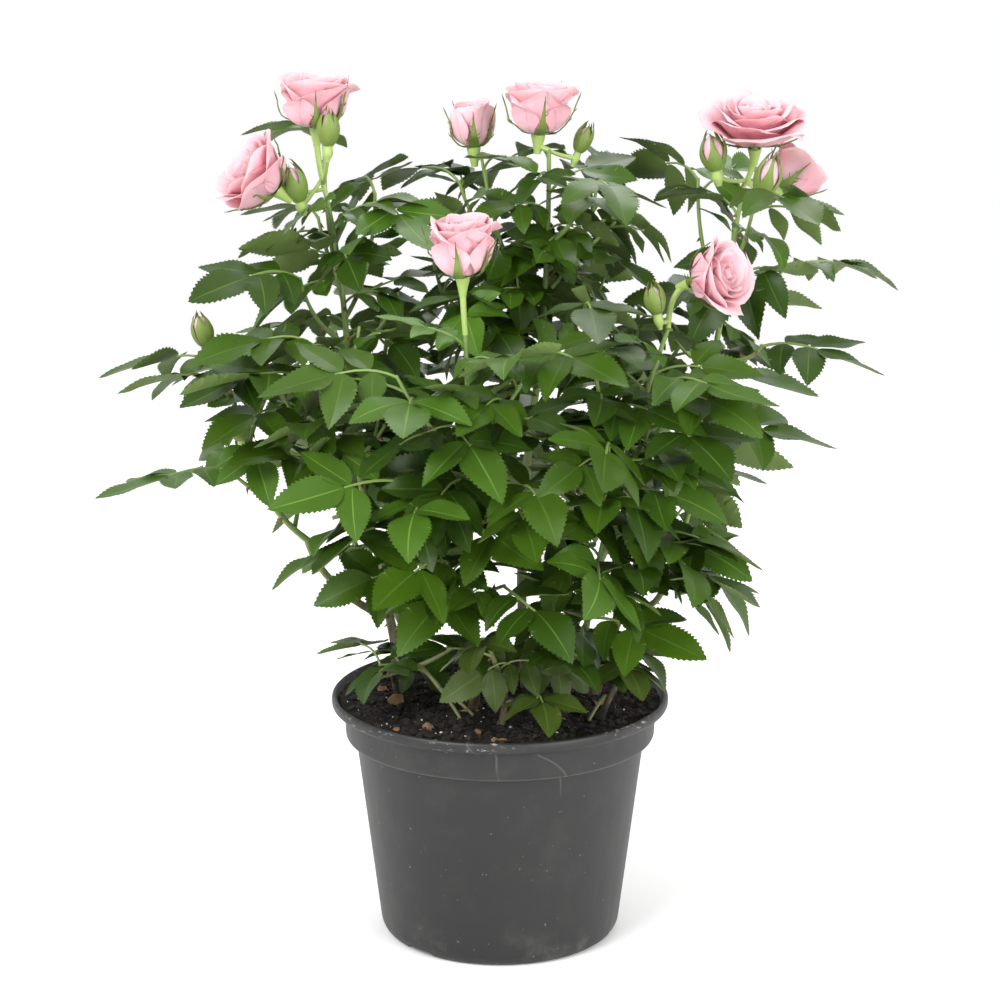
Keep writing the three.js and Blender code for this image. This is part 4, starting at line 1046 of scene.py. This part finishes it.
# Canes: radius = taper (1 + ridges of bark), wider at the foot by (foot - 1) e^(-distance / footHeight). Each cane has
# a strip of the map. The bark's relief falls to a share `smoothShare` over the heights `smoothFrom`
caneForm = dict(sides=14, step=2.2, least=12, relief=0.07, ridge=3.5, stretch=0.3, smoothShare=0.25,
                smoothFrom=(150, 215), foot=1.25, footHeight=6, sink=1.5)


def makeCanes():
    heap = Heap()
    names = list(limbs)
    for i, (name, limb) in enumerate(limbs.items()):
        curve = limb["curve"]
        rings = max(caneForm["least"], round(curve.length / caneForm["step"]))
        share = np.linspace(0, 1, rings)
        centres = curve.at(share)
        if limb["fork"]:
            centres[0] = limbs[limb["fork"][0]]["curve"].at(limb["fork"][1])
        else:
            centres[0] -= curve.way(0) * caneForm["sink"]
        taper = mix(*limb["radius"], share)
        if not limb["fork"]:
            taper = taper * (1 + (caneForm["foot"] - 1) * np.exp(-share * curve.length / caneForm["footHeight"]))
        points, faces = tube(centres, taper, caneForm["sides"])
        ring = points[:-2].reshape(rings, caneForm["sides"], 3)
        relief = mix(1, caneForm["smoothShare"], smooth(*caneForm["smoothFrom"], ring[..., 2])) * caneForm["relief"]
        rough = ripple(ring * (1, 1, caneForm["stretch"]), caneForm["ridge"], 2, i) * relief
        ring += (ring - centres[:, None]) * rough[..., None]
        heap.add(points, faces, 0, stripPlaces(rings, caneForm["sides"], i / len(names), 0.94 / len(names)))
    piece = heap.build("canes", [looks["bark"]], mapName="OFBake")
    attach(piece, "root")
    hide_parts(*names)


# Flowers. Petal i of n stands at i golden turns; its line leaves the axis at an angle that runs from `root` through
# `cup` to `rim`, each given for the innermost and the outermost petal, and its width bends round the axis
petalForm = dict(rows=11, columns=9, thick=0.35, crowd=0.85, hub=0.5, spread=2.3, rise=1.2, overlap=(0.55, 0.35),
                 claw=0.2, fullAt=0.62, narrow=0.22, narrowFrom=0.66, shoulder=0.16, edgeLead=0.16, wave=0.12, waves=4,
                 bend=2.2, flatter=0.7, wrap=2.4, rimFrom=(0.55, 1.08),
                 drawn=dict(cup=0.06, rim=0.12, length=0.03, turn=0.12))
flowerForms = dict(
    cup=dict(petals=19, root=(0.15, 1.4), cup=(-0.05, 0.16), rim=(-0.35, 0.95), length=(17, 25), width=(7, 21),
             turned=0.42, flatness=(1, 2), deep=1),
    open=dict(petals=24, root=(0.15, 1.3), cup=(-0.02, 0.95), rim=(-0.25, 1.65), length=(13, 26), width=(6, 19),
              turned=0.5, flatness=(1.55, 2.2), deep=0.55),
    half=dict(petals=11, root=(0.1, 0.85), cup=(-0.08, 0.1), rim=(-0.35, 0.1), length=(17, 22), width=(7, 17),
              turned=0.5, flatness=(1, 2), deep=1),
    bud=dict(petals=4),
)


# A closed thin shell from a sheet: front and back share the border points
def shellTemplate(rows, columns):
    front = np.arange(rows * columns).reshape(rows, columns)
    back = front.copy()
    back[1:-1, 1:-1] = rows * columns + np.arange((rows - 2) * (columns - 2)).reshape(rows - 2, columns - 2)
    quad = lambda grid: np.stack([grid[:-1, :-1], grid[:-1, 1:], grid[1:, 1:], grid[1:, :-1]], -1).reshape(-1, 4)
    return quad(front), quad(back)[:, ::-1]


# Points of such shells: each inner point of a sheet moved half the thickness along its normal, to both sides
def shellPoints(sheets, thick):
    normal = unit(np.cross(np.gradient(sheets, axis=2), np.gradient(sheets, axis=1)))
    inner = np.zeros(sheets.shape[1:3])
    inner[1:-1, 1:-1] = 1
    front = sheets + normal * (inner * thick / 2)[None, ..., None]
    back = (sheets - normal * thick / 2)[:, 1:-1, 1:-1]
    n = len(sheets)
    return np.concatenate([front.reshape(n, -1, 3), back.reshape(n, -1, 3)], axis=1)


# Three directions square to each other, the last of them the axis
def axisFrame(axis):
    e1 = squareTo(offAxis(axis), axis)
    return np.stack([e1, np.cross(axis, e1), axis])


# Distances from the axis and heights of a family of lines: the angle from the axis is summed step by step
def lineOf(angle, step):
    middle = (angle[:, 1:] + angle[:, :-1]) / 2
    zero = np.zeros_like(angle[:, :1])
    out = np.concatenate([zero, np.cumsum(np.sin(middle) * step, axis=1)], axis=1)
    high = np.concatenate([zero, np.cumsum(np.cos(middle) * step, axis=1)], axis=1)
    return out, high


# Radius of a bud at share s of its height, as a share of its widest
def bulb(s):
    return (1 - s) ** 0.9 * (0.45 + 2.6 * s) / 0.945


# A closed bud: each petal wraps about a third of the way round inside the bulb, one edge over its neighbour's, and
# twists as it rises
budForm = dict(top=0.97, wrap=1.15, twist=1.5, inside=0.86, edgeOver=0.05, height=0.96)


def budSheets(count, width, depth):
    v = np.linspace(0, budForm["top"], petalForm["rows"])[None, :, None]
    u = np.linspace(-1, 1, petalForm["columns"])[None, None, :]
    turn = turns(count)[:, None, None] + budForm["wrap"] * u + budForm["twist"] * v
    r = (budForm["inside"] + budForm["edgeOver"] * u) * width / 2 * bulb(v)
    return around(r, turn, budForm["height"] * depth * v)


# The petals of a flower, one grid of points each. t runs from the innermost petal to the outermost, v along a petal and
# u across it. The whole is then stretched to the flower's width and depth
def petalSheets(form, width, depth, seed):
    if "length" not in form:
        return budSheets(form["petals"], width, depth)
    rng = np.random.default_rng(seed)
    n = form["petals"]
    t = ((np.arange(n) / (n - 1)) ** petalForm["crowd"])[:, None, None]
    v = np.linspace(0, 1, petalForm["rows"])[None, :, None]
    u = np.linspace(-1, 1, petalForm["columns"])[None, None, :]
    vary = lambda key: rng.normal(0, petalForm["drawn"][key], (n, 1, 1))
    flat = smooth(*form["flatness"], width / depth)
    opened = mix(form["deep"], 1, flat)         # outer petals of a deep flower open less
    root = mix(*form["root"], t)
    cup = mix(form["cup"][0], form["cup"][1] * opened, t)
    rim = mix(form["rim"][0], form["rim"][1] * opened, t)
    reach = v + petalForm["edgeLead"] * np.abs(u) ** 3 * smooth(0.3, 0.8, v)
    angle = mix(root, cup + vary("cup"), smooth(0, form["turned"], reach))
    angle = angle + (rim + vary("rim") - cup) * smooth(*petalForm["rimFrom"], reach)
    angle = angle + petalForm["wave"] * np.sin(petalForm["waves"] * u + rng.uniform(0, 6, (n, 1, 1))) * v**2
    length = mix(*form["length"], t) * (1 + vary("length")) * (1 - petalForm["shoulder"] * np.abs(u) ** 2.4)
    out, high = lineOf(angle, length / (petalForm["rows"] - 1))
    r = petalForm["hub"] + petalForm["spread"] * t + out + u * mix(*petalForm["overlap"], t)
    wide = mix(petalForm["claw"], 1, np.sin(math.pi / 2 * np.minimum(v / petalForm["fullAt"], 1)))
    wide = mix(*form["width"], t) * wide * (1 - petalForm["narrow"] * smooth(petalForm["narrowFrom"], 1, v))
    bend = np.maximum(r, petalForm["bend"]) * (1 + petalForm["flatter"] * t)
    swing = np.clip(u * wide / bend, -petalForm["wrap"], petalForm["wrap"])
    x = (r - bend) + bend * np.cos(swing)
    y = bend * np.sin(swing)
    turn = np.arange(n)[:, None, None] * goldenTurn + vary("turn")
    z = high + petalForm["rise"] * (1 - t) + np.zeros_like(x)
    sheets = np.stack([x * np.cos(turn) - y * np.sin(turn), x * np.sin(turn) + y * np.cos(turn), z], axis=-1)
    spread = np.quantile(np.hypot(x, y), 0.99)
    return sheets * (width / 2 / spread, width / 2 / spread, depth / sheets[..., 2].max())


# Sepals: five blades that climb the outside of the petals. Each line keeps `off` outside the widest petal beside it at
# each of the levels, up to a share `hug` of the flower's height, and goes on upwards and outwards from there.
# Half width = half ((1-v)^1.5 + 0.04). A bud's sepals lie on its bulb, and part lower down where the bud is large
sepalForm = dict(count=5, rows=12, columns=5, thick=0.5, off=0.45, tipFrom=0.75, start=0.95, drawn=0.08,
                 beside=0.94, hug=0.56, levels=19, near=1.3, least=2.5, hip=2.8, lengths=(0.82, 1.08),
                 outwards=0.25, upwards=0.9,
                 cup=dict(length=28, half=3.4, flare=0.8), open=dict(length=22, half=3.2, flare=3),
                 half=dict(length=23, half=3.1, flare=1))
budSepal = dict(off=0.3, partAt=(0.45, 0.2), partWidth=(9.5, 11), parted=0.7, flare=1.2, heights=(1.02, 1.22))


def sepalSheets(kind, sheets, width, depth, rng):
    n = sepalForm["count"]
    v = np.linspace(0, 1, sepalForm["rows"])[None]
    u = np.linspace(-1, 1, sepalForm["columns"])
    turn = turns(n)[:, None, None] + rng.normal(0, sepalForm["drawn"], (n, 1, 1)) + sepalForm["start"]
    if kind == "bud":
        s = v * np.ones((n, 1))
        part = mix(*budSepal["partAt"], smooth(*budSepal["partWidth"], width))
        r = width / 2 * bulb(s) + budSepal["off"] + rng.uniform(0, budSepal["flare"], (n, 1)) * smooth(0.8, 1, s)
        z = depth * s * rng.uniform(*budSepal["heights"], (n, 1))
        closed = 1.02 - budSepal["parted"] * smooth(part, part + 0.5, s)
        half = r * math.pi / n * closed * (1 - smooth(0.8, 1.05, s))
    else:
        form = sepalForm[kind]
        reach, high = np.hypot(sheets[..., 0], sheets[..., 1]).ravel(), sheets[..., 2].ravel()
        bearing = np.arctan2(sheets[..., 1], sheets[..., 0]).ravel()
        levels = np.linspace(0, high.max() * sepalForm["hug"], sepalForm["levels"])
        near = np.abs(high[None] - levels[:, None]) < sepalForm["near"]
        spots = v * form["length"] * rng.uniform(*sepalForm["lengths"], (n, 1))
        flare = rng.uniform(-0.1, 1, (n, 1)) * form["flare"]
        r, z = np.zeros_like(spots), np.zeros_like(spots)
        for i in range(n):
            beside = np.cos(bearing - turn[i, 0, 0]) > sepalForm["beside"]
            wide = np.array([(reach * (row & beside)).max() for row in near])
            wide = np.maximum.accumulate(np.convolve(np.pad(wide, 1, mode="edge"), np.ones(3) / 3, mode="valid"))
            line = np.stack([np.maximum(wide, sepalForm["least"]) + sepalForm["off"], levels - 0.2], axis=1)
            line[0, 0] = min(line[0, 0], sepalForm["hip"])
            travelled = distanceAlong(line)
            over = np.maximum(spots[i] - travelled[-1], 0)
            r[i] = np.interp(spots[i], travelled, line[:, 0]) + over * sepalForm["outwards"]
            z[i] = np.interp(spots[i], travelled, line[:, 1]) + over * sepalForm["upwards"]
        r = r + flare * smooth(0.5, 1, v) ** 2
        half = form["half"] * ((1 - v) ** 1.5 + 0.04) * (0.8 + 0.2 * smooth(0, 0.2, v)) * np.ones((n, 1))
    swing = u[None, None] * (half / np.maximum(r, 1.2))[..., None]
    return around(r[..., None], swing + turn, z[..., None])


# Thin side teeth of a sepal, each a spike that leaves its border forwards and outwards, shorter towards the tip
filamentForm = dict(at=(0.3, 0.45, 0.6), missing=0.35, drawn=0.06, reach=(2, 4.5), side=0.6, forward=0.8,
                    outward=(-0.1, 0.5), radii=(0.32, 0.22, 0.05), sides=4)


def filaments(leafy, rng):
    form = filamentForm
    made = []
    rows = leafy.shape[1]
    for sheet in leafy:
        for share in form["at"]:
            for edge, inner in ((0, 1), (-1, -2)):
                if rng.uniform() < form["missing"]:
                    continue
                row = round((share + rng.uniform(-form["drawn"], form["drawn"])) * (rows - 1))
                root = sheet[row, edge]
                side = unit(root - sheet[row, inner])
                way = unit(sheet[row + 1, 2] - sheet[row, 2])
                out = unit(root * (1, 1, 0))
                reach = rng.uniform(*form["reach"]) * (1.1 - share)
                tip = root + (side * form["side"] + way * form["forward"] + out * rng.uniform(*form["outward"])) * reach
                line = [root - side * 0.4, mix(root, tip, 0.5) + out * 0.1 * reach, tip]
                made.append(tube(line, form["radii"], form["sides"]))
    return made


# The swollen green part under each flower, from the stalk up: radius and height from the petals' base. A bud's are
# drawn for one `budWidth` wide
hipForm = dict(sides=12, flower=[(1.5, -9), (1.7, -7.5), (2.2, -5), (2.8, -2.6), (3.1, -1), (2.9, 0.3)],
               bud=[(1.3, -7), (1.5, -6), (2.5, -4.6), (2.9, -2.8), (2.5, -1.2), (2.6, 0.2)], budWidth=11,
               stalkRings=16, stalkSides=8)


def makeHip(kind, width):
    profile = np.array(hipForm["bud" if kind == "bud" else "flower"])
    if kind == "bud":
        profile[:, 0] *= width / hipForm["budWidth"]
    rings = around(profile[:, :1], turns(hipForm["sides"]), profile[:, 1:])
    return closeRings(rings, (0, 0, profile[0, 1]), (0, 0, profile[-1, 1]))


# Each side of each petal has a square cell of its own on the map
def makeFlowers():
    petals, greens = Heap(), Heap()
    rows, columns = petalForm["rows"], petalForm["columns"]
    total = sum(flowerForms[stalk["flower"]["kind"]]["petals"] for stalk in stalks)
    cells = math.ceil(math.sqrt(2 * total))
    used = 0
    front, back = shellTemplate(rows, columns)
    v, u = np.meshgrid(np.linspace(0, 1, rows), np.linspace(0, 1, columns), indexing="ij")
    share = np.concatenate([v.ravel(), v[1:-1, 1:-1].ravel()])
    flat = np.stack([u, v], axis=-1) * 0.94 + 0.03
    flat = np.concatenate([flat.reshape(-1, 2), flat[1:-1, 1:-1].reshape(-1, 2)])
    sepalFront, sepalBack = shellTemplate(sepalForm["rows"], sepalForm["columns"])
    steps = sepalForm["rows"] - 1
    tips = np.repeat(np.where(np.arange(steps) / steps > sepalForm["tipFrom"], 2, 0), sepalForm["columns"] - 1)
    for number, stalk in enumerate(stalks):
        flower, base, turned = stalk["flower"], stalk["base"], axisFrame(stalk["axis"])
        kind, width, depth = flower["kind"], flower["width"], flower["depth"]
        rng = np.random.default_rng(40 + number)
        sheets = petalSheets(flowerForms[kind], width, depth, number)
        for shell in shellPoints(sheets, petalForm["thick"]):
            corner, other = (np.array([cell % cells, cell // cells]) for cell in (used, used + 1))
            petals.add(base + shell @ turned, [front, back], 0,
                       [(flat[front] + corner) / cells, (flat[back] + other) / cells], mark=share)
            used += 2
        leafy = sepalSheets(kind, sheets, width, depth, rng)
        for shell in shellPoints(leafy, sepalForm["thick"]):
            greens.add(base + shell @ turned, [sepalFront, sepalBack], [tips, tips])
        if kind != "bud":
            for points, faces in filaments(leafy, rng):
                greens.add(base + points @ turned, faces, 2)
        points, faces = makeHip(kind, width)
        greens.add(base + points @ turned, faces, 1)
        along = np.linspace(0, 1, hipForm["stalkRings"])
        points, faces = tube(stalk["curve"].at(along), mix(*stalk["radius"], along ** 2), hipForm["stalkSides"])
        greens.add(points, faces, 1)
    piece = petals.build("petals", [looks["petal"]], crease=75, mapName="OFBake", markName="petalShare")
    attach(piece, "root")
    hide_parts(*[truss["name"] for truss in trusses])
    piece = greens.build("sepalsAndStalks", [looks["sepalGreen"], looks["stalkPale"], looks["sepalTip"]])
    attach(piece, "root")


makeLeaves()
makeTwigs()
makeCanes()
makeFlowers()
print("plant made")


# Pot: a turned form with rounded corners, given by radius and height; drainage notches lift its foot
potForm = dict(
    segments=176, step=0.7, roundings=3, floor=3.2,
    outside=[(0, 0), (50, 0), (52.3, 1.4), (53.7, 4.5), (64.4, 90), (64.8, 90.6), (68.3, 90.6), (68.9, 91.4),
             (69.3, 102.8), (70.4, 104), (74.2, 104.6), (75, 105.4), (75, 109), (74, 110)],
    inside=[(73.4, 110), (72.4, 107.8), (71.2, 106.2), (68, 104.4), (67.6, 94), (63.2, 92.2), (63, 88.5), (51.2, 3.2),
            (0, 3.2)],
    notches=3, notchTurn=math.radians(226), notchWidth=14, notchHigh=2.6, notchRadius=53, notchInner=(47, 49),
)


# Points every `step` along a line of corners, each moved halfway to its neighbours' mean, `roundings` times
def roundedLine(corners, step, roundings):
    corners = np.array(corners, float)
    travelled = distanceAlong(corners)
    spots = np.linspace(0, travelled[-1], round(travelled[-1] / step) + 1)
    line = np.stack([np.interp(spots, travelled, corners[:, k]) for k in (0, 1)], axis=1)
    for _ in range(roundings):
        line[1:-1] = line[1:-1] / 2 + (line[2:] + line[:-2]) / 4
    return line


# The outside and then the inside, turned about +Z. In a window round each notch, the foot is lifted to `notchHigh`
def makePot():
    line = roundedLine(potForm["outside"] + potForm["inside"], potForm["step"], potForm["roundings"])
    line[0], line[-1] = (0, 0), (0, potForm["floor"])
    inner = line[1:-1]
    segments = potForm["segments"]
    angle = turns(segments)
    r, z = inner[:, :1], inner[:, 1:]
    rings = around(r, angle, z)
    between = fullTurn / potForm["notches"]
    off = (angle - potForm["notchTurn"] + between / 2) % between - between / 2
    half = potForm["notchWidth"] / 2
    window = 1 - smooth(half - 1, half + 1, np.abs(off) * potForm["notchRadius"])
    lift = np.maximum(potForm["notchHigh"] - z[:, 0], 0) * smooth(*potForm["notchInner"], r[:, 0])
    rings[..., 2] += (lift * (np.arange(len(inner)) < len(inner) / 2))[:, None] * window[None]
    points, faces = closeRings(rings, (0, 0, 0), (0, 0, potForm["floor"]))
    heap = Heap()
    heap.add(points, faces, 0, stripPlaces(len(inner), segments, 0.0, 1.0, 0.02, 1.0))
    piece = heap.build("potShell", [looks["pot"]], crease=50, mapName="OFBake")
    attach(piece, "root")
    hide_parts("pot")


# Soil: a disc whose height is the slope of the fill with lumps of peat, flatter towards its edge and turned down there
soilForm = dict(rings=56, segments=150, lump=1.6, lumpSize=14, octaves=4, seed=5, edgeFlat=0.6, edgeDrop=1.2, deep=12)


# Height of the peat: the slope, and soft noise as high as `lump`
def peatTop(x, y, share):
    lumpy = ripple(np.stack([x, y, 0 * x], axis=-1), soilForm["lumpSize"], soilForm["octaves"], soilForm["seed"])
    return soilTop(x, y) + lumpy * soilForm["lump"] * share


# Rings from the turned-down edge inwards to the middle, which another point closes below
def makeSoil():
    rings, segments = soilForm["rings"], soilForm["segments"]
    share = np.linspace(0, 1, rings + 1)[1:]
    angle = turns(segments)
    r = share[:, None] * soil["radius"]
    x, y = r * np.cos(angle), r * np.sin(angle)
    top = np.stack([x, y, peatTop(x, y, 1 - soilForm["edgeFlat"] * share[:, None] ** 6)], axis=-1)
    skirt = top[-1:].copy()
    skirt[..., 2] -= soilForm["edgeDrop"]
    grid = np.concatenate([skirt, top[::-1]])
    places = np.concatenate([share[-1:] * 1.02, share[::-1]])
    points, (quads, ends) = closeRings(grid, (0, 0, soilTop(0, 0) - soilForm["deep"]), (0, 0, soilTop(0, 0)))
    spots = np.stack([places[:, None] * np.cos(angle), places[:, None] * np.sin(angle)], axis=-1) * 0.47 + 0.5
    spots = np.concatenate([spots.reshape(-1, 2), [[0.5, 0.5], [0.5, 0.5]]])
    endPlaces = spots[ends]
    endPlaces[:segments] = endPlaces[:segments] * 0.05 + 0.01
    heap = Heap()
    heap.add(points, (quads, ends), 0, [spots[quads], endPlaces])
    piece = heap.build("soilBed", [looks["peat"]], crease=60, mapName="OFBake")
    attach(piece, "root")
    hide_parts("soil")
    makeCrumbs()


# Loose grains: how many, their sizes, how far they stick out of the peat, and one big chip that lies in sight
grainForm = dict(dark=(2600, 0.4, 2.5), brown=(1300, 0.3, 1.8), chips=(22, 0.8, 4.2), perlite=(190, 0.2, 0.85),
                 out=0.1, perliteOut=0.2, fromEdge=2.5, small=2.2, bigChip=(-46, -12), bigChipSize=5.4, bigChipUp=1.5)


# Lumps: copies of a twenty-faced ball, each dented, stretched, turned about +Z and tilted at random
def lumps(centres, sizes, rng, squash=0.7):
    golden = (1 + math.sqrt(5)) / 2
    corners = np.array([(-1, golden, 0), (1, golden, 0), (-1, -golden, 0), (1, -golden, 0)])
    ball = unit(np.concatenate([np.roll(corners, k, axis=1) for k in range(3)]))
    faces = np.array([(0, 11, 5), (0, 5, 1), (0, 1, 7), (0, 7, 10), (0, 10, 11), (1, 5, 9), (5, 11, 4), (11, 10, 2),
                      (10, 7, 6), (7, 1, 8), (3, 9, 4), (3, 4, 2), (3, 2, 6), (3, 6, 8), (3, 8, 9), (4, 9, 5),
                      (2, 4, 11), (6, 2, 10), (8, 6, 7), (9, 8, 1)])
    n = len(centres)
    dented = ball[None] * rng.uniform(0.7, 1.25, (n, 12, 1))
    shape = dented * rng.uniform((0.7, 0.7, squash * 0.6), (1.3, 1.0, squash), (n, 3))[:, None]
    turn = rng.uniform(0, fullTurn, n)
    c, s = np.cos(turn)[:, None], np.sin(turn)[:, None]
    x, y = shape[..., 0] * c - shape[..., 1] * s, shape[..., 0] * s + shape[..., 1] * c
    tilt = rng.uniform(-0.5, 0.5, (n, 1))
    y, z = y * np.cos(tilt) - shape[..., 2] * np.sin(tilt), y * np.sin(tilt) + shape[..., 2] * np.cos(tilt)
    points = np.stack([x, y, z], axis=-1) * sizes[:, None, None] + centres[:, None]
    return points, (faces[None] + (np.arange(n) * 12)[:, None, None]).reshape(-1, 3)


# Grains lie evenly over the soil; most of them are small: size = low + (high - low) draw^small
def makeCrumbs():
    rng = np.random.default_rng(23)

    def scatter(count, low, high, out):
        r = np.sqrt(rng.uniform(0, 1, count)) * (soil["radius"] - grainForm["fromEdge"])
        a = rng.uniform(0, fullTurn, count)
        x, y = r * np.cos(a), r * np.sin(a)
        sizes = low + (high - low) * rng.uniform(0, 1, count) ** grainForm["small"]
        return np.stack([x, y, peatTop(x, y, 1) + sizes * out], axis=1), sizes

    heap = Heap()
    for tint, kind in enumerate(("dark", "brown", "chips")):
        centres, sizes = scatter(*grainForm[kind], grainForm["out"])
        if kind == "chips":
            centres[0] = (*grainForm["bigChip"], soilTop(*grainForm["bigChip"]) + grainForm["bigChipUp"])
            sizes[0] = grainForm["bigChipSize"]
        points, faces = lumps(centres, sizes, rng)
        heap.add(points, [faces], tint)
    piece = heap.build("peatCrumbs", [looks["crumbDark"], looks["crumbBrown"], looks["crumbTan"]], crease=40)
    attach(piece, "root")
    heap = Heap()
    centres, sizes = scatter(*grainForm["perlite"], grainForm["perliteOut"])
    points, faces = lumps(centres, sizes, rng, 0.9)
    heap.add(points, [faces], 0)
    piece = heap.build("perliteGrains", [looks["perlite"]], crease=40)
    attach(piece, "root")


makePot()
makeSoil()
print("pot and soil made")


# Stage: a pale floor, soft lights and the camera
stage = dict(
    camera=(0, -1.099, 0.4528), pitch=76.9, view=22.0, lampTarget=(0, 0, 0.22),
    floor=3.0, floorColour=(0.9, 0.9, 0.9), floorRough=0.9, sky=(1.0, 1.0, 1.0), skyStrength=1.0,
    lamps=[dict(at=(-0.9, -1.1, 1.1), size=0.9, power=25), dict(at=(1.0, -1.0, 0.6), size=1.1, power=16),
           dict(at=(0.2, 1.0, 1.3), size=0.8, power=7)],
)


# Each lamp is turned so that its light falls on the target
def makeStage():
    scene = bpy.context.scene
    heap = Heap()
    half = stage["floor"] / 2 / mm
    heap.add([(-half, -half, 0), (half, -half, 0), (half, half, 0), (-half, half, 0)], [np.array([[0, 1, 2, 3]])])
    floor = heap.build("floor", [plain("floorWhite", stage["floorColour"], stage["floorRough"])])
    world = bpy.data.worlds.new("softSky")
    scene.world = world
    world.use_nodes = True
    sky = next(n for n in world.node_tree.nodes if n.type == "BACKGROUND")
    sky.inputs["Color"].default_value = (*stage["sky"], 1)
    sky.inputs["Strength"].default_value = stage["skyStrength"]
    for i, lamp in enumerate(stage["lamps"]):
        light = bpy.data.lights.new(f"softLamp{i}", "AREA")
        light.shape, light.size, light.energy = "DISK", lamp["size"], lamp["power"]
        holder = bpy.data.objects.new(f"softLamp{i}", light)
        holder.location = lamp["at"]
        way = unit(np.subtract(stage["lampTarget"], lamp["at"]))
        holder.rotation_euler = (math.acos(-way[2]), 0, math.atan2(way[0], -way[1]) + math.pi)
        scene.collection.objects.link(holder)
    camera = bpy.data.objects.new("camera", bpy.data.cameras.new("camera"))
    camera.location = stage["camera"]
    camera.rotation_euler = (math.radians(stage["pitch"]), 0, 0)
    camera.data.angle = math.radians(stage["view"])
    scene.collection.objects.link(camera)
    scene.camera = camera
    scene.view_settings.view_transform = "Standard"


makeStage()
print("stage made")
